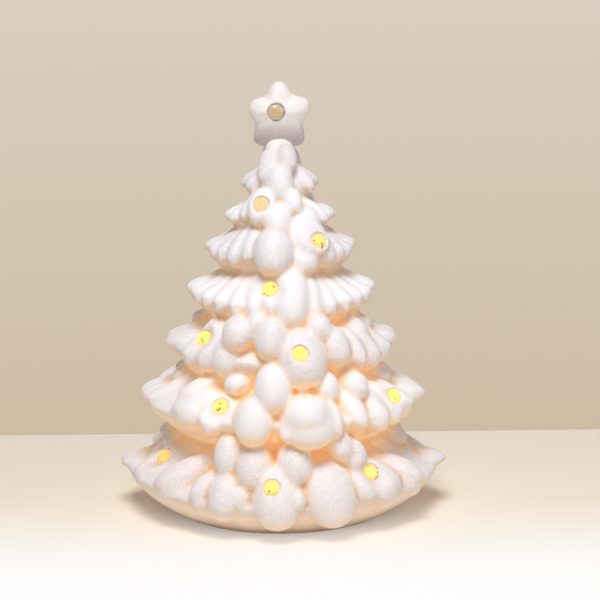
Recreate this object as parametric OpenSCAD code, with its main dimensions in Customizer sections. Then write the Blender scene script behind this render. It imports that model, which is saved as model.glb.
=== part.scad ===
// Lit ceramic christmas tree: one slip-cast tree with seated gems, and a battery lamp base in its foot

/* [Tree] */
// Height of the tree from its foot to the tip of the star
tree_h = 200; // [120:1:320]
// Reach of the longest bough from the axis
bough_reach = 77; // [60:0.5:125]
// Thickness of the cast wall
wall = 3.6; // [2.5:0.1:6]
// Radius of the round opening in the foot
foot_opening_r = 41; // [40:0.1:46]
// Height of the straight part of that opening
foot_opening_h = 9; // [7:0.1:12]

/* [Star] */
// Distance from the middle of the star to its top point
star_r = 15; // [9:0.1:24]
// Thickness of the star
star_t = 15; // [11:0.1:20]

/* [Gems] */
// Diameter of a gem
gem_d = 8; // [5:0.1:10]
// Thickness of the gem from its back to its rim
gem_rim_t = 1; // [0.6:0.05:1.6]
// Height of the cut crown above the rim
gem_crown_h = 1.5; // [0.8:0.05:2.5]
// Diameter of the flat table on the crown
gem_table_d = 4.6; // [2.5:0.1:5]
// Gap around a gem in its seat
gem_fit = 0.15; // [0.1:0.05:0.3]
// Depth of the seat's floor under the skin
gem_seat_depth = 2.2; // [1.5:0.1:3]
// Diameter of the light hole behind a gem
gem_hole_d = 5.4; // [3:0.1:6]
// Length of the light hole behind a gem
gem_hole_l = 18; // [15:0.5:20]

/* [Lamp base] */
// Gap between the opening and the lamp base, which the silicone bead fills
seal_w = 1.6; // [1:0.1:2.5]
// Height of the silicone bead
seal_h = 4; // [2:0.1:6]
// Gap left between the bead and the cast wall
seal_fit = 0.1; // [0.05:0.05:0.3]
// Distance of the lamp base above the table
base_recess = 1.8; // [1.4:0.1:3]
// Thickness of the base plate
plate_t = 2.6; // [2.4:0.1:3.5]
// Thickness of the rim and of the bay walls
shell_t = 1.6; // [1.2:0.1:2]
// Height of the rim above the plate
rim_h = 5; // [3:0.1:8]
// Place of the middle of the battery bay behind the axis
bay_y = 6; // [4:0.1:7]

/* [Batteries] */
// Diameter of a cell
cell_d = 10.5; // [10:0.1:10.5]
// Length of a cell with its nub
cell_l = 44.5; // [40:0.1:44.5]
// Diameter of the nub
nub_d = 3.8; // [3:0.1:4.5]
// Height of the nub
nub_h = 0.9; // [0.6:0.1:1.2]
// Gap between two cells
cell_gap = 0.7; // [0.4:0.1:0.7]
// Gap between a cell and the bay
cell_fit = 0.3; // [0.2:0.05:0.4]
// Thickness of a contact plate
contact_t = 0.4; // [0.3:0.05:0.6]
// Depth of the dimple that meets a nub
dimple_h = 0.6; // [0.4:0.1:1]
// Length of a pressed contact spring
spring_l = 3.8; // [3.2:0.1:4.5]
// Thickness of the spring wire
spring_wire = 0.6; // [0.4:0.05:0.7]

/* [Battery door] */
// Thickness of the door
door_t = 2.2; // [2:0.1:2.4]
// Gap around the door
door_gap = 0.3; // [0.2:0.05:0.5]
// Width of the ledge that the door closes against
door_seat = 1.2; // [0.8:0.1:1.4]
// Radius of a hinge pin
pin_r = 0.6; // [0.5:0.05:0.7]
// Length of a hinge pin
pin_l = 1.6; // [1:0.1:2]
// Gap around a hinge pin
pin_fit = 0.1; // [0.08:0.01:0.2]

/* [Switch] */
// Length of the switch case
switch_l = 8.6; // [7:0.1:10]
// Width of the switch case
switch_w = 5; // [4:0.1:6]
// Height of the switch case
switch_h = 4.4; // [4:0.1:6]
// Travel of the slider
switch_travel = 2; // [1:0.1:2.4]
// Length of the knob
knob_l = 2.2; // [1.5:0.1:2.4]
// Width of the knob
knob_w = 1.6; // [1:0.1:2]

/* [Light] */
// Radius of the round board
board_r = 14; // [12:0.1:18]
// Thickness of the board
board_t = 1.6; // [1:0.1:2]
// Height of the posts under the board
post_h = 3; // [2:0.1:6]
// Diameter of a lamp
led_d = 5; // [3:0.1:6]
// Height of a lamp
led_h = 8.6; // [5:0.1:10]
// Diameter of a lead
lead_d = 1.4; // [1:0.1:1.6]

/* [Hidden] */
$fa = 5;
$fs = 0.4;
// Extra length of a cut beyond the face that it opens
cut = 0.5;

// Points of the skin around the tree, and rows of points up each stretch between two tiers
AROUND = 84;
ROWS = [5, 10, 9, 9, 7, 6, 6, 6];
// Points of the hollow around and up, and points of the skin for each point of the hollow around
HOLLOW_AROUND = 28;
HOLLOW_ROWS = 24;
SKIN_STEPS = AROUND / HOLLOW_AROUND;

// The trunk under the boughs: height as a share of tree_h, radius as a share of bough_reach
trunk_shares = [
    [0, 0.61], [0.06, 0.636], [0.19, 0.585], [0.33, 0.52], [0.45, 0.365], [0.56, 0.33],
    [0.65, 0.254], [0.73, 0.162], [0.79, 0.104], [0.84, 0.099], [0.87, 0.09]
];
// The seven tiers, from the lowest up. Each has the height of its edge in front and at the side, how far it
// hangs down and how far it rises to the trunk as shares of tree_h, its reach as a share of bough_reach, and
// the share of that reach that its plain skirt has
tier_shares = [
    [0.0900, 0.1125, 0.1200, 0.0800, 1.000, 0.95],
    [0.2675, 0.2700, 0.0925, 0.0775, 0.870, 0.95],
    [0.3925, 0.4000, 0.0825, 0.0650, 0.708, 0.95],
    [0.5150, 0.5200, 0.0775, 0.0525, 0.575, 0.96],
    [0.6175, 0.6175, 0.0650, 0.0550, 0.460, 0.93],
    [0.6850, 0.6875, 0.0500, 0.0575, 0.332, 0.88],
    [0.7600, 0.7600, 0.0450, 0.0550, 0.231, 0.80]
];
// The boughs of half a tree, tier by tier from the lowest. Each is a lobe, with its direction in degrees
// from the front, positive to the right, the reach and height of its tip, half its length, width and
// thickness, and how steeply it hangs and how far it turns aside in degrees. Its height counts in
// HEIGHT_PARTS of tree_h, and its other lengths in REACH_PARTS of bough_reach
HEIGHT_PARTS = 200;
REACH_PARTS = 77;
bough_shares = [
    [[-86, 75.8, 20, 28, 18, 5.5, 3, -4], [-66, 73.5, 20.5, 24, 9, 6, 10, -24],
     [-49, 76.5, 20.5, 18, 6.5, 5.5, 24, -35], [-36, 75.5, 18.5, 13, 6, 5.5, 36, -18],
     [-23, 74, 9, 15, 9.5, 9, 52, 0], [-14, 71, 14, 8, 6, 6, 60, 0], [-2, 76, 7, 18, 13, 10, 50, 0],
     [7, 74, 14, 7, 3.5, 5, 60, 0], [17, 76, 7, 18, 13, 10, 50, 0], [30, 75, 16, 13, 7, 6.5, 40, 10],
     [41, 76.5, 19, 20, 11, 8, 26, 24], [57, 77, 20.5, 17, 7.5, 6, 22, 20],
     [86, 77.2, 21, 27, 17, 5.5, 0, 4], [-23, 66, 28, 10, 7, 7, 60, 0], [-12, 68, 23, 11, 8, 8, 58, 0],
     [5, 67, 24, 11, 8, 8, 58, 0], [25, 65, 34, 7, 5.5, 5.5, 60, 0], [31, 66, 28, 8, 6, 6, 60, 0],
     [-38, 63, 31, 8, 7, 6, 50, 0], [-78, 58, 31, 6.5, 6.5, 4, 25, 0], [52, 61, 31, 8, 7, 5, 35, 0],
     [80, 59, 32, 6.5, 6.5, 4, 22, 0]],
    [[-84, 65.8, 53.5, 25, 9, 5.5, 9, -6], [-72, 65.5, 53.5, 22, 6.5, 5.5, 12, -18],
     [-46, 62, 58.5, 13, 5, 4.5, 22, -38], [-44, 66.5, 53, 15, 9, 7, 12, -44],
     [-35, 66.5, 50.5, 11, 5.5, 5, 24, -35], [-21, 58, 63, 7.5, 5.5, 5.5, 40, -35],
     [-4, 63, 57, 12, 8.5, 8.5, 56, 0], [-12, 67, 42, 14, 9.5, 9, 60, 0], [11, 68, 41, 14, 14, 9, 56, 0],
     [10, 69, 48, 10, 10, 9, 45, 0], [0, 66, 44, 7, 4, 5, 50, -20], [21, 66, 45, 10, 4.5, 6, 55, 15],
     [22, 57, 60, 7, 5.5, 6, 58, 0], [37, 59, 60, 8, 6.5, 6, 48, 0],
     [33, 66.5, 48.5, 14, 5.5, 5.5, 38, 5], [44, 66.5, 49, 15, 5.5, 5.5, 31, 12],
     [53, 67, 51, 15, 5.5, 5.5, 25, 15], [62, 67, 53, 15, 5.5, 5, 18, 15],
     [83, 67.3, 53.5, 24, 12, 6.5, 5, 6], [75, 52, 62.5, 6, 6, 3.5, 20, 0],
     [-84, 51.5, 61.5, 6, 6, 3.5, 20, 0]],
    [[-80, 54.8, 79, 21, 14, 6.5, 5, -10], [-53, 54.5, 77, 13, 6, 5, 22, -20],
     [-42, 54, 76, 13, 6, 5, 27, -20], [-31, 53.5, 74.5, 13, 6.5, 6, 34, -12],
     [-25, 50.5, 82, 8.5, 7.5, 7.5, 58, 0], [-14, 47, 88, 6.5, 5.5, 5.5, 58, 0],
     [-5, 53, 77.5, 11, 9, 8.5, 58, 0], [10, 58, 67, 16, 13, 10, 54, 0],
     [22, 48.5, 86, 6.5, 6, 6, 58, 0], [31, 54, 73, 11, 7.5, 7.5, 58, 0],
     [43, 54, 73, 11, 5, 5.5, 46, 0], [54, 54, 75, 13, 6, 5.5, 30, 10],
     [66, 54.5, 77, 15, 6.5, 5, 20, 12], [82, 54.3, 79.5, 20, 11, 6, 5, 10],
     [56, 46, 84.5, 7, 6, 5, 28, 0], [76, 43, 87, 6, 5, 3.5, 20, 0], [-48, 45, 86, 7, 6, 4.5, 28, 0]],
    [[-84, 44.2, 104, 19, 8, 5, 6, -8], [-64, 44.3, 103.5, 18, 5.5, 4.5, 10, -10],
     [-53, 44, 102.5, 18, 5, 4.5, 13, -8], [-41, 44, 101.5, 18, 5, 4.5, 17, -8],
     [-29, 44, 100.5, 17, 5, 4.5, 21, -6], [-17, 44, 99.5, 16, 5, 5, 28, -3],
     [-6, 44, 99, 15, 5, 5.5, 40, 0], [6, 47, 93, 16, 9, 8.5, 52, 0], [20, 44, 98, 15, 5.5, 5.5, 34, 4],
     [32, 44, 100, 16, 5, 4.5, 22, 6], [44, 44, 101, 17, 5, 4.5, 17, 8],
     [56, 44, 102, 18, 5, 4.5, 13, 8], [69, 44, 103, 18, 5.5, 4.5, 10, 8], [84, 44, 104, 19, 8, 5, 6, 8]],
    [[-84, 35.3, 123.5, 15, 7.5, 4.5, 7, 0], [-66, 35.2, 123, 14, 5, 4.5, 12, -8],
     [-53, 35, 122, 14, 4.5, 4.5, 18, -8], [-40, 35, 121, 13, 4.5, 5, 26, -8],
     [-27, 34.5, 120, 12, 5, 5.5, 40, 0], [-6, 38, 114, 12, 9, 9, 60, 0],
     [20, 35.5, 115, 8, 7, 5.5, 52, 0], [28, 35, 123, 12, 9.5, 6.5, 40, 0],
     [41, 34.5, 120.5, 11, 5, 5, 32, 5], [53, 35, 122, 13, 5, 4.5, 20, 8],
     [66, 35.2, 122.5, 14, 5.5, 4.5, 12, 8], [84, 34.6, 123.5, 15, 7.5, 4.5, 7, 0]],
    [[-84, 25.6, 137.5, 12, 6.5, 4.5, 12, 0], [-62, 25.6, 136.5, 11, 5, 4, 22, -8],
     [-43, 25, 138, 11, 4.5, 4.5, 36, -5], [-23, 26.5, 135.5, 10, 6.5, 6, 56, 0],
     [-2, 27.5, 131, 9, 6.5, 6.5, 60, 0], [31, 26.5, 133, 10, 7, 6.5, 56, 0],
     [22, 21.5, 142.5, 6, 4.5, 4.5, 60, 0], [55, 25.6, 136, 10, 5, 4.5, 28, 8],
     [80, 24.6, 137.5, 12, 7, 4.5, 12, 0]],
    [[-84, 17.6, 152, 10, 6, 4, 27, 0], [-50, 16.5, 152.5, 9, 5.5, 4, 40, 0],
     [0, 18.5, 147, 10, 7, 6, 66, 0], [45, 16.5, 153, 9, 5.5, 4, 40, 0],
     [84, 16.4, 152, 10, 6, 4, 27, 0], [12, 11.5, 161, 8, 6, 5, 70, 0], [-28, 12, 157, 9, 5.5, 5, 70, 0]]
];
// The blunt end of a lobe: its length and its width as shares of the lobe's
blunt_length_share = 0.62;
blunt_width_share = 0.8;
// How far the belly of a skirt lies under its edge, as a share of how far it hangs
belly_share = 0.12;

// Gems of half a tree: the name of its tier and side, direction in degrees from the front, height as a share
// of tree_h, and the direction that it faces
gem_shares = [
    ["t2", "", -19.8, 0.73, -15], ["t3", "", 30.8, 0.648, 20], ["t4", "", -7.4, 0.546, -8],
    ["t5", "_left", -50.4, 0.426, -24], ["t5", "", 8.2, 0.414, 8], ["t6", "_left", -29.2, 0.288, -18],
    ["t6", "_right", 56.8, 0.29, 25], ["t7", "_left", -67.4, 0.141, -25], ["t7", "", -4, 0.128, -4],
    ["t7", "_right", 35.4, 0.14, 20]
];
// Upward tilt of every gem but the star's, in degrees
gem_tilt = 30;
// Facets around a gem
GEM_SIDES = 8;

// Height of the star's middle
star_z = tree_h - star_r;
// Outline of the star: direction in degrees from the right, and distance as a share of star_r
star_shares = [
    [-90, 1], [-54, 1.16], [-22, 0.81], [18, 1], [53, 0.74],
    [90, 1], [127, 0.71], [164, 0.96], [204, 0.81], [231, 1.15], [270, 1]
];
// Points around the star and layers through it
STAR_AROUND = 50;
STAR_LAYERS = 8;
// Place of the star's gem beside and above its middle, as shares of star_r
star_gem_shares = [-0.09, 0.08];
// How round the star's edge is: the power of its swell from edge to middle
round_share = 0.6;
// Distance of the neck's top below the star's middle, as a share of star_r
neck_share = 0.73;

// Lamp base
base_r = foot_opening_r - seal_w;
plate_top = base_recess + plate_t;
cell_r = cell_d / 2;
cell_pitch = cell_d + cell_gap;
door_low = base_recess + (plate_t - door_t) / 2;
door_top = door_low + door_t;
cell_z = plate_top + cell_fit + cell_r;
bay_l = cell_l + 2 * contact_t + dimple_h + spring_l;
bay_w = 3 * cell_d + 2 * cell_gap + 2 * cell_fit;
bay_top = cell_z + cell_r + cell_fit + shell_t;
// Height of the ribs between the cells under the bay's ceiling, as a share of a cell's radius
rib_share = 0.7;
// Each cell lies nearer to the end of its nub, which takes less room than the spring
cell_shift = (spring_l - dimple_h) / 2;
// End of the bay where each cell's nub is
NUB_SIDES = [1, -1, 1];

// Door, with its hinge at the bay's front edge and the finger notch at the back
hinge_r = door_t / 2;
door_l = bay_l + 2 * door_seat - 2 * door_gap;
door_w = bay_w + 2 * door_seat - 2 * door_gap;
hinge_y = bay_y - door_w / 2 + hinge_r;
hinge_z = door_low + hinge_r;
hinge_l = 6;
notch_r = 4.5;
grip_w = 1;
grip_l = 12;
GRIPS = 4;

// Switch, which lies across the front of the lamp base
switch_inset = 12.4;
switch_y = switch_inset - base_r;
switch_floor = 0.9;
switch_wall = 0.8;
slider_h = 1.2;
slider_l = 4.6;
slider_w = 3;
slider_fit = 0.1;
knob_low = base_recess * 0.55;
ear_l = 4;
ear_t = 1;
well_d = 0.9;
terminal_w = 1;
terminal_t = 0.4;
terminal_h = 2.4;

// Screws
screw_r = 0.9;
screw_head_r = 1.7;
screw_head_h = 1.1;
screw_fit = 0.05;
slot_w = 0.5;
slot_share = 0.4;
post_r = 2.4;
board_screw_l = 3.6;
switch_screw_l = 2.8;

// Board, on two posts over the battery bay
board_z = bay_top + post_h;
board_top = board_z + board_t;
post_ring = 11;
led_ring = 7.5;
led_flange_h = 1;
led_flange_w = 0.4;
resistor_d = 2.2;
resistor_l = 6;
resistor_y = 1.5;
leg_d = 0.6;
leg_rise = 0.3;
// The two pads that the leads reach: distance from the board's middle, and directions
pad_ring = 12.2;
PAD_DIRECTIONS = [250, 140];

// Contacts
contact_w = 7.5;
contact_h = 7;
dimple_d = 3.2;
tab_w = 2.4;
tab_h = 2.6;
tab_fit = 0.15;
SPRING_CURLS = 3;
spring_r = 3;
spring_tip_share = 0.7;
// Points around a wire, and rings in a curl and along a lead
WIRE_SIDES = 6;
CURL_RINGS = 8;
LEAD_SIDES = 8;
LEAD_RINGS = 12;

// The least gap of a spring to itself
echo(spring_gap = (spring_l - spring_wire) / SPRING_CURLS - spring_wire);

// Shapes of the tree

function trunk(z) = bough_reach * lookup(z / tree_h, trunk_shares);

// Angle between two directions, from -180 to 180 degrees
function turn(a) = a - 360 * floor((a + 180) / 360);

// Share of a skirt's reach at a height above its belly: round underneath, and swept up to the trunk above
function sweep(dz, down, up) = let (v = min(max(dz / up, 0), 1)) dz < 0
    ? 1 - pow(min(-dz / down, 1), 1.6)
    : pow(1 - v, 1.5) * (1 + 0.5 * v);

function edge(t, a) = tree_h * (t[0] + (t[1] - t[0]) * pow(sin(a), 2));

// An egg with its long axis along a bough, its length and width shares of the bough's: its direction, the
// matrix that makes it a unit ball, and the middle of that ball
function egg(b, half, long_share, wide_share) =
    let (part = bough_reach / REACH_PARTS, l = long_share * b[3] * part,
         along = [cos(b[6]) * cos(b[7]), cos(b[6]) * sin(b[7]), -sin(b[6])],
         across = [-sin(b[7]), cos(b[7]), 0],
         w = wide_share * b[4] * part, h = wide_share * b[5] * part,
         shape = [along / l, across / w, cross(along, across) / h],
         middle = [b[1] * part - l * cos(b[6]), 0, b[2] / HEIGHT_PARTS * tree_h + l * sin(b[6])])
    [b[0] + half, shape, shape * middle];

// The eggs of each tier: each bough is a long one with a blunt one in its end
EGGS = [for (tier = bough_shares)
    [for (b = tier, half = [0, 180], end = [[1, 1], [blunt_length_share, blunt_width_share]])
        egg(b, half, end[0], end[1])]];

// Distance from the axis at which a level ray in direction a leaves an egg, and 0 where it misses
function egg_reach(e, a, z) =
    let (u = e[1] * [cos(a - e[0]), sin(a - e[0]), 0], w = e[1] * [0, 0, z] - e[2], half = u * w,
         inside = half * half - u * u * (w * w - 1))
    inside > 0 ? (sqrt(inside) - half) / (u * u) : 0;

// Reach of one tier: its plain skirt, and the boughs of both halves of the tree
function tier(i, a, z, rc) =
    let (t = tier_shares[i], dz = z - edge(t, a) + belly_share * t[2] * tree_h)
    z < tree_h * (t[0] - 1.5 * t[2]) || z > tree_h * (t[1] + 2.6 * t[3]) ? rc
    : max(rc + max(t[4] * t[5] * bough_reach - rc, 0) * sweep(dz, t[2] * (1 - belly_share) * tree_h,
                                                             1.15 * t[3] * tree_h),
          max([for (e = EGGS[i]) abs(turn(a - e[0])) < 50 ? egg_reach(e, a, z) : 0]));

// Radius of the skin in direction a at height z
function skin(a, z) = let (rc = trunk(z)) max([for (i = [0:len(tier_shares) - 1]) tier(i, a, z, rc)]);

// Radius of the hollow at point i of a ring: a wall's thickness inside the least radius of the skin near it
function hollow(radii, i, z) = z < foot_opening_h ? foot_opening_r - wall / 2
    : max(wall / 2, min([for (j = [0:len(row_z) - 1]) if (abs(row_z[j] - z) <= hollow_step)
        for (k = [-SKIN_STEPS:SKIN_STEPS]) radii[j][(SKIN_STEPS * i + k + AROUND) % AROUND]]) - wall);

// Heights of the rows of the skin: even steps from edge to edge, and up to a neck that ends in the star
neck_top = star_z - neck_share * star_r;
row_stops = concat([0], [for (t = tier_shares) t[0] * tree_h], [neck_top]);
row_z = concat([for (i = [0:len(ROWS) - 1], k = [0:ROWS[i] - 1])
    row_stops[i] + (row_stops[i + 1] - row_stops[i]) * k / ROWS[i]], [neck_top]);

hollow_top = 0.84 * tree_h;
hollow_step = (hollow_top - foot_opening_h) / (HOLLOW_ROWS - 1);
hollow_z = concat([0, foot_opening_h - cut],
    [for (k = [0:HOLLOW_ROWS - 1]) foot_opening_h + hollow_step * k]);

// Point in direction a from the front, at radius r and height z
function around(a, r, z) = [r * sin(a), -r * cos(a), z];

// Two triangles for each cell of a grid of rows with n points around, which meet on its shorter diagonal.
// The rings turn anticlockwise seen from the last row, or with flip the other way
function wall_faces(points, rows, n, first, flip = false) = [for (j = [0:rows - 2], i = [0:n - 1])
    let (k = (i + 1) % n, p = first + j * n, q = p + n, lean = norm(points[p + i] - points[q + k]),
         rise = norm(points[p + k] - points[q + i]))
    for (f = lean < rise
        ? [[p + i, q + k, p + k], [p + i, q + i, q + k]]
        : [[p + i, q + i, p + k], [p + k, q + i, q + k]]) flip ? [f[0], f[2], f[1]] : f];

module tree_skin() {
    radii = [for (z = row_z) [for (i = [0:AROUND - 1]) skin(360 * i / AROUND, z)]];
    outer = [for (j = [0:len(row_z) - 1], i = [0:AROUND - 1])
        around(360 * i / AROUND, radii[j][i], row_z[j])];
    inner = [for (z = hollow_z, i = [0:HOLLOW_AROUND - 1])
        around(360 * i / HOLLOW_AROUND, hollow(radii, i, z), z)];
    first = len(outer);
    last = first + len(inner);
    points = concat(outer, inner, [[0, 0, (neck_top + star_z) / 2], [0, 0, hollow_top + wall / 2]]);
    top = len(row_z) * AROUND - AROUND;
    roof = last - HOLLOW_AROUND;
    polyhedron(
        points = points,
        faces = concat(
            wall_faces(points, len(row_z), AROUND, 0),
            wall_faces(points, len(hollow_z), HOLLOW_AROUND, first, true),
            [for (i = [0:AROUND - 1]) [top + i, last, top + (i + 1) % AROUND]],
            [for (i = [0:HOLLOW_AROUND - 1]) [roof + i, roof + (i + 1) % HOLLOW_AROUND, last + 1]],
            [for (i = [0:HOLLOW_AROUND - 1], o = [0:SKIN_STEPS - 1])
                [SKIN_STEPS * i + o, (SKIN_STEPS * i + o + 1) % AROUND, first + i]],
            [for (i = [0:HOLLOW_AROUND - 1]) let (k = (i + 1) % HOLLOW_AROUND)
                [(SKIN_STEPS * k) % AROUND, first + k, first + i]]
        )
    );
}

// Distance of the star's outline from its middle, in direction a
function star_reach(a) =
    let (i = max([for (k = [0:len(star_shares) - 2]) if (a >= star_shares[k][0]) k]),
         p = star_shares[i], q = star_shares[i + 1], u = (a - p[0]) / (q[0] - p[0]))
    star_r * (p[1] + (q[1] - p[1]) * (0.5 - 0.5 * cos(180 * u)));

module star() {
    around_angles = [for (i = [0:STAR_AROUND - 1]) -90 + 360 * i / STAR_AROUND];
    layers = [for (k = [1:STAR_LAYERS - 1]) -90 + 180 * k / STAR_LAYERS];
    rings = [for (t = layers, a = around_angles) let (r = star_reach(a) * pow(cos(t), round_share))
        [r * cos(a), star_t / 2 * sin(t), star_z + r * sin(a)]];
    n = len(rings);
    back = n - STAR_AROUND;
    polyhedron(
        points = concat(rings, [[0, -star_t / 2, star_z], [0, star_t / 2, star_z]]),
        faces = concat(
            wall_faces(rings, len(layers), STAR_AROUND, 0, true),
            [for (i = [0:STAR_AROUND - 1]) [i, n, (i + 1) % STAR_AROUND]],
            [for (i = [0:STAR_AROUND - 1]) [back + i, back + (i + 1) % STAR_AROUND, n + 1]]
        )
    );
}

// Moves to a gem's place on the skin, with Z along the gem's axis
module at_gem(g, half) {
    a = g[2] + half;
    z = g[3] * tree_h;
    translate(around(a, skin(a, z), z)) rotate([90 - gem_tilt, 0, g[4] + half]) children();
}

module at_star_gem() {
    translate([star_gem_shares[0] * star_r, -star_t / 2, star_z + star_gem_shares[1] * star_r])
        rotate([90, 0, 0]) children();
}

module gem_seat(hole_l) {
    translate([0, 0, -gem_seat_depth]) cylinder(r = gem_d / 2 + gem_fit, h = gem_seat_depth + 2 * gem_d);
    translate([0, 0, -hole_l]) cylinder(d = gem_hole_d, h = hole_l);
}

module tree_body() {
    color("snow") difference() {
        union() {
            tree_skin();
            star();
        }
        for (g = gem_shares, half = [0, 180]) at_gem(g, half) gem_seat(gem_hole_l);
        at_star_gem() gem_seat(star_t / 2 + gem_hole_d / 2);
        translate([0, 0, hollow_top]) cylinder(d = gem_hole_d, h = star_z + gem_hole_d / 2 - hollow_top);
        translate([0, 0, -cut]) cylinder(r = foot_opening_r, h = foot_opening_h + cut, $fn = 152);
    }
}

module gem() {
    translate([0, 0, -gem_seat_depth]) {
        cylinder(d1 = gem_d - gem_rim_t, d2 = gem_d, h = gem_rim_t, $fn = GEM_SIDES);
        translate([0, 0, gem_rim_t])
            cylinder(d1 = gem_d, d2 = gem_table_d, h = gem_crown_h, $fn = GEM_SIDES);
    }
}

module tree_gem(i, half) {
    color([1, 0.9, 0.45]) at_gem(gem_shares[i], half) gem();
}

module gem_star() {
    color([1, 0.9, 0.45]) at_star_gem() gem();
}

// Place of a cell's axis, at the front, in the middle and at the back of the bay
function cell_y(i) = bay_y + (i - 1) * cell_pitch;

// Box around x = 0 and y = 0 that stands on z = 0
module slab(size) {
    translate([-size[0] / 2, -size[1] / 2, 0]) cube(size);
}

module bay_outside() {
    translate([0, bay_y, plate_top]) slab([bay_l + 2 * shell_t, bay_w + 2 * shell_t, bay_top - plate_top]);
}

// The bay's inside: a box under the ribs, and a groove for each cell
module bay_inside() {
    low = base_recess - cut;
    translate([0, bay_y, low]) slab([bay_l, bay_w, cell_z + rib_share * cell_r - low]);
    for (i = [0:2]) translate([-bay_l / 2, cell_y(i), cell_z])
        rotate([0, 90, 0]) cylinder(r = cell_r + cell_fit, h = bay_l);
}

// The two contacts with a soldering tab: the end of the bay, and the cell's y
tab_places = [[1, cell_y(0)], [-1, cell_y(2)]];

module at_posts() {
    for (side = [-1, 1]) translate([side * post_ring, bay_y, 0]) children();
}

module at_switch_ears() {
    for (side = [-1, 1]) translate([side * (switch_l + ear_l) / 2, switch_y, 0]) children();
}

// The parts of the base that stand up from its plate
module base_solid() {
    translate([0, 0, base_recess]) cylinder(r = base_r, h = plate_t);
    translate([0, 0, plate_top]) difference() {
        cylinder(r = base_r, h = rim_h);
        translate([0, 0, -cut]) cylinder(r = base_r - shell_t, h = rim_h + 2 * cut);
    }
    bay_outside();
    at_posts() translate([0, 0, bay_top]) cylinder(r = post_r, h = post_h);
}

module base_housing() {
    color("whitesmoke") difference() {
        base_solid();
        bay_inside();
        translate([0, bay_y, base_recess - cut])
            slab([bay_l + 2 * door_seat, bay_w + 2 * door_seat, plate_t + cut]);
        for (side = [-1, 1]) translate([side * (door_l / 2 - cut), hinge_y, hinge_z])
            rotate([0, side * 90, 0]) cylinder(r = pin_r + pin_fit, h = pin_l + door_gap + cut);
        for (p = tab_places) translate([p[0] * (bay_l - contact_t) / 2, p[1], bay_top - shell_t - cell_r])
            slab([contact_t + 2 * tab_fit, tab_w + 2 * tab_fit, shell_t + cell_r + cut]);
        translate([0, bay_y + door_w / 2, base_recess - cut]) cylinder(r = notch_r, h = plate_t / 2 + cut);
        translate([0, switch_y, base_recess - cut])
            slab([knob_l + switch_travel + 2 * slider_fit, knob_w + 2 * slider_fit, plate_t + 2 * cut]);
        translate([0, switch_y, base_recess - cut]) linear_extrude(well_d + cut) hull()
            for (side = [-1, 1]) translate([side * switch_travel, 0]) circle(r = knob_l);
        at_posts() translate([0, 0, board_top - board_screw_l])
            cylinder(r = screw_r + screw_fit, h = board_screw_l);
        at_switch_ears() translate([0, 0, plate_top + ear_t - switch_screw_l])
            cylinder(r = screw_r + screw_fit, h = switch_screw_l + cut);
    }
}

// Bead of silicone in the gap around the lamp base, with a hollow lower face
module base_seal() {
    color("whitesmoke") difference() {
        translate([0, 0, base_recess]) cylinder(r = foot_opening_r - seal_fit, h = seal_h);
        translate([0, 0, base_recess - cut]) cylinder(r = base_r, h = seal_h + 2 * cut);
    }
}

module battery_door() {
    color("whitesmoke") {
        difference() {
            union() {
                translate([0, bay_y + hinge_r / 2, door_low]) slab([door_l, door_w - hinge_r, door_t]);
                translate([-door_l / 2, hinge_y, hinge_z]) rotate([0, 90, 0])
                    cylinder(r = hinge_r, h = door_l);
                for (side = [-1, 1]) translate([side * door_l / 2, hinge_y, hinge_z])
                    rotate([0, side * 90, 0]) cylinder(r = pin_r, h = pin_l);
            }
            translate([0, bay_y + door_w / 2, door_low - cut])
                cylinder(r = notch_r - door_gap, h = door_t / 2 + cut);
            for (i = [1:GRIPS]) translate([0, bay_y + door_w / 2 - notch_r - 2 * i * grip_w, door_low - cut])
                slab([grip_l, grip_w, cut + door_t / 4]);
        }
    }
}

// One cell: can, crimped shoulder and nub, along X with its nub to the right
module cell_shape() {
    shoulder = nub_h;
    rotate([0, 90, 0]) rotate_extrude() polygon([
        [0, -cell_l / 2], [cell_r - shoulder / 2, -cell_l / 2], [cell_r, -cell_l / 2 + shoulder / 2],
        [cell_r, cell_l / 2 - nub_h - shoulder], [cell_r - shoulder / 2, cell_l / 2 - nub_h],
        [nub_d / 2, cell_l / 2 - nub_h], [nub_d / 2, cell_l / 2], [0, cell_l / 2]
    ]);
}

module battery(i) {
    side = NUB_SIDES[i];
    color("darkseagreen") translate([side * cell_shift, cell_y(i), cell_z])
        rotate([0, 0, side > 0 ? 0 : 180]) cell_shape();
}

// Tube of n sides through points, each with its own frame across the path
module tube(points, r, n, up) {
    last = len(points) - 1;
    rings = [for (i = [0:last])
        let (d = points[min(i + 1, last)] - points[max(i - 1, 0)], t = d / norm(d),
             s = cross(t, up) / norm(cross(t, up)), v = cross(t, s))
        for (k = [0:n - 1]) points[i] + r * (s * cos(360 * k / n) + v * sin(360 * k / n))];
    polyhedron(
        points = rings,
        faces = concat(
            wall_faces(rings, last + 1, n, 0),
            [[for (k = [0:n - 1]) k]],
            [[for (k = [n - 1:-1:0]) last * n + k]]
        )
    );
}

// Spring of a contact: curls that narrow away from the plate, towards the cell
module contact_spring() {
    steps = SPRING_CURLS * CURL_RINGS;
    points = [for (i = [0:steps])
        let (u = i / steps, a = 360 * SPRING_CURLS * u, r = spring_r * (1 + (spring_tip_share - 1) * u))
        [-spring_wire / 3 - (spring_l - spring_wire) * u, r * cos(a), r * sin(a)]];
    tube(points, spring_wire / 2, WIRE_SIDES, [1, 0, 0]);
}

// Plate of a contact at the right end of cell i, seen from the bay
module contact_plate(w, tab) {
    translate([-contact_t / 2, 0, -contact_h / 2]) slab([contact_t, w, contact_h]);
    if (tab) translate([-contact_t / 2, 0, 0]) slab([contact_t, tab_w, bay_top + tab_h - cell_z]);
}

module dimple() {
    rotate([0, -90, 0]) cylinder(d1 = dimple_d, d2 = dimple_d / 2, h = dimple_h);
}

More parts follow.
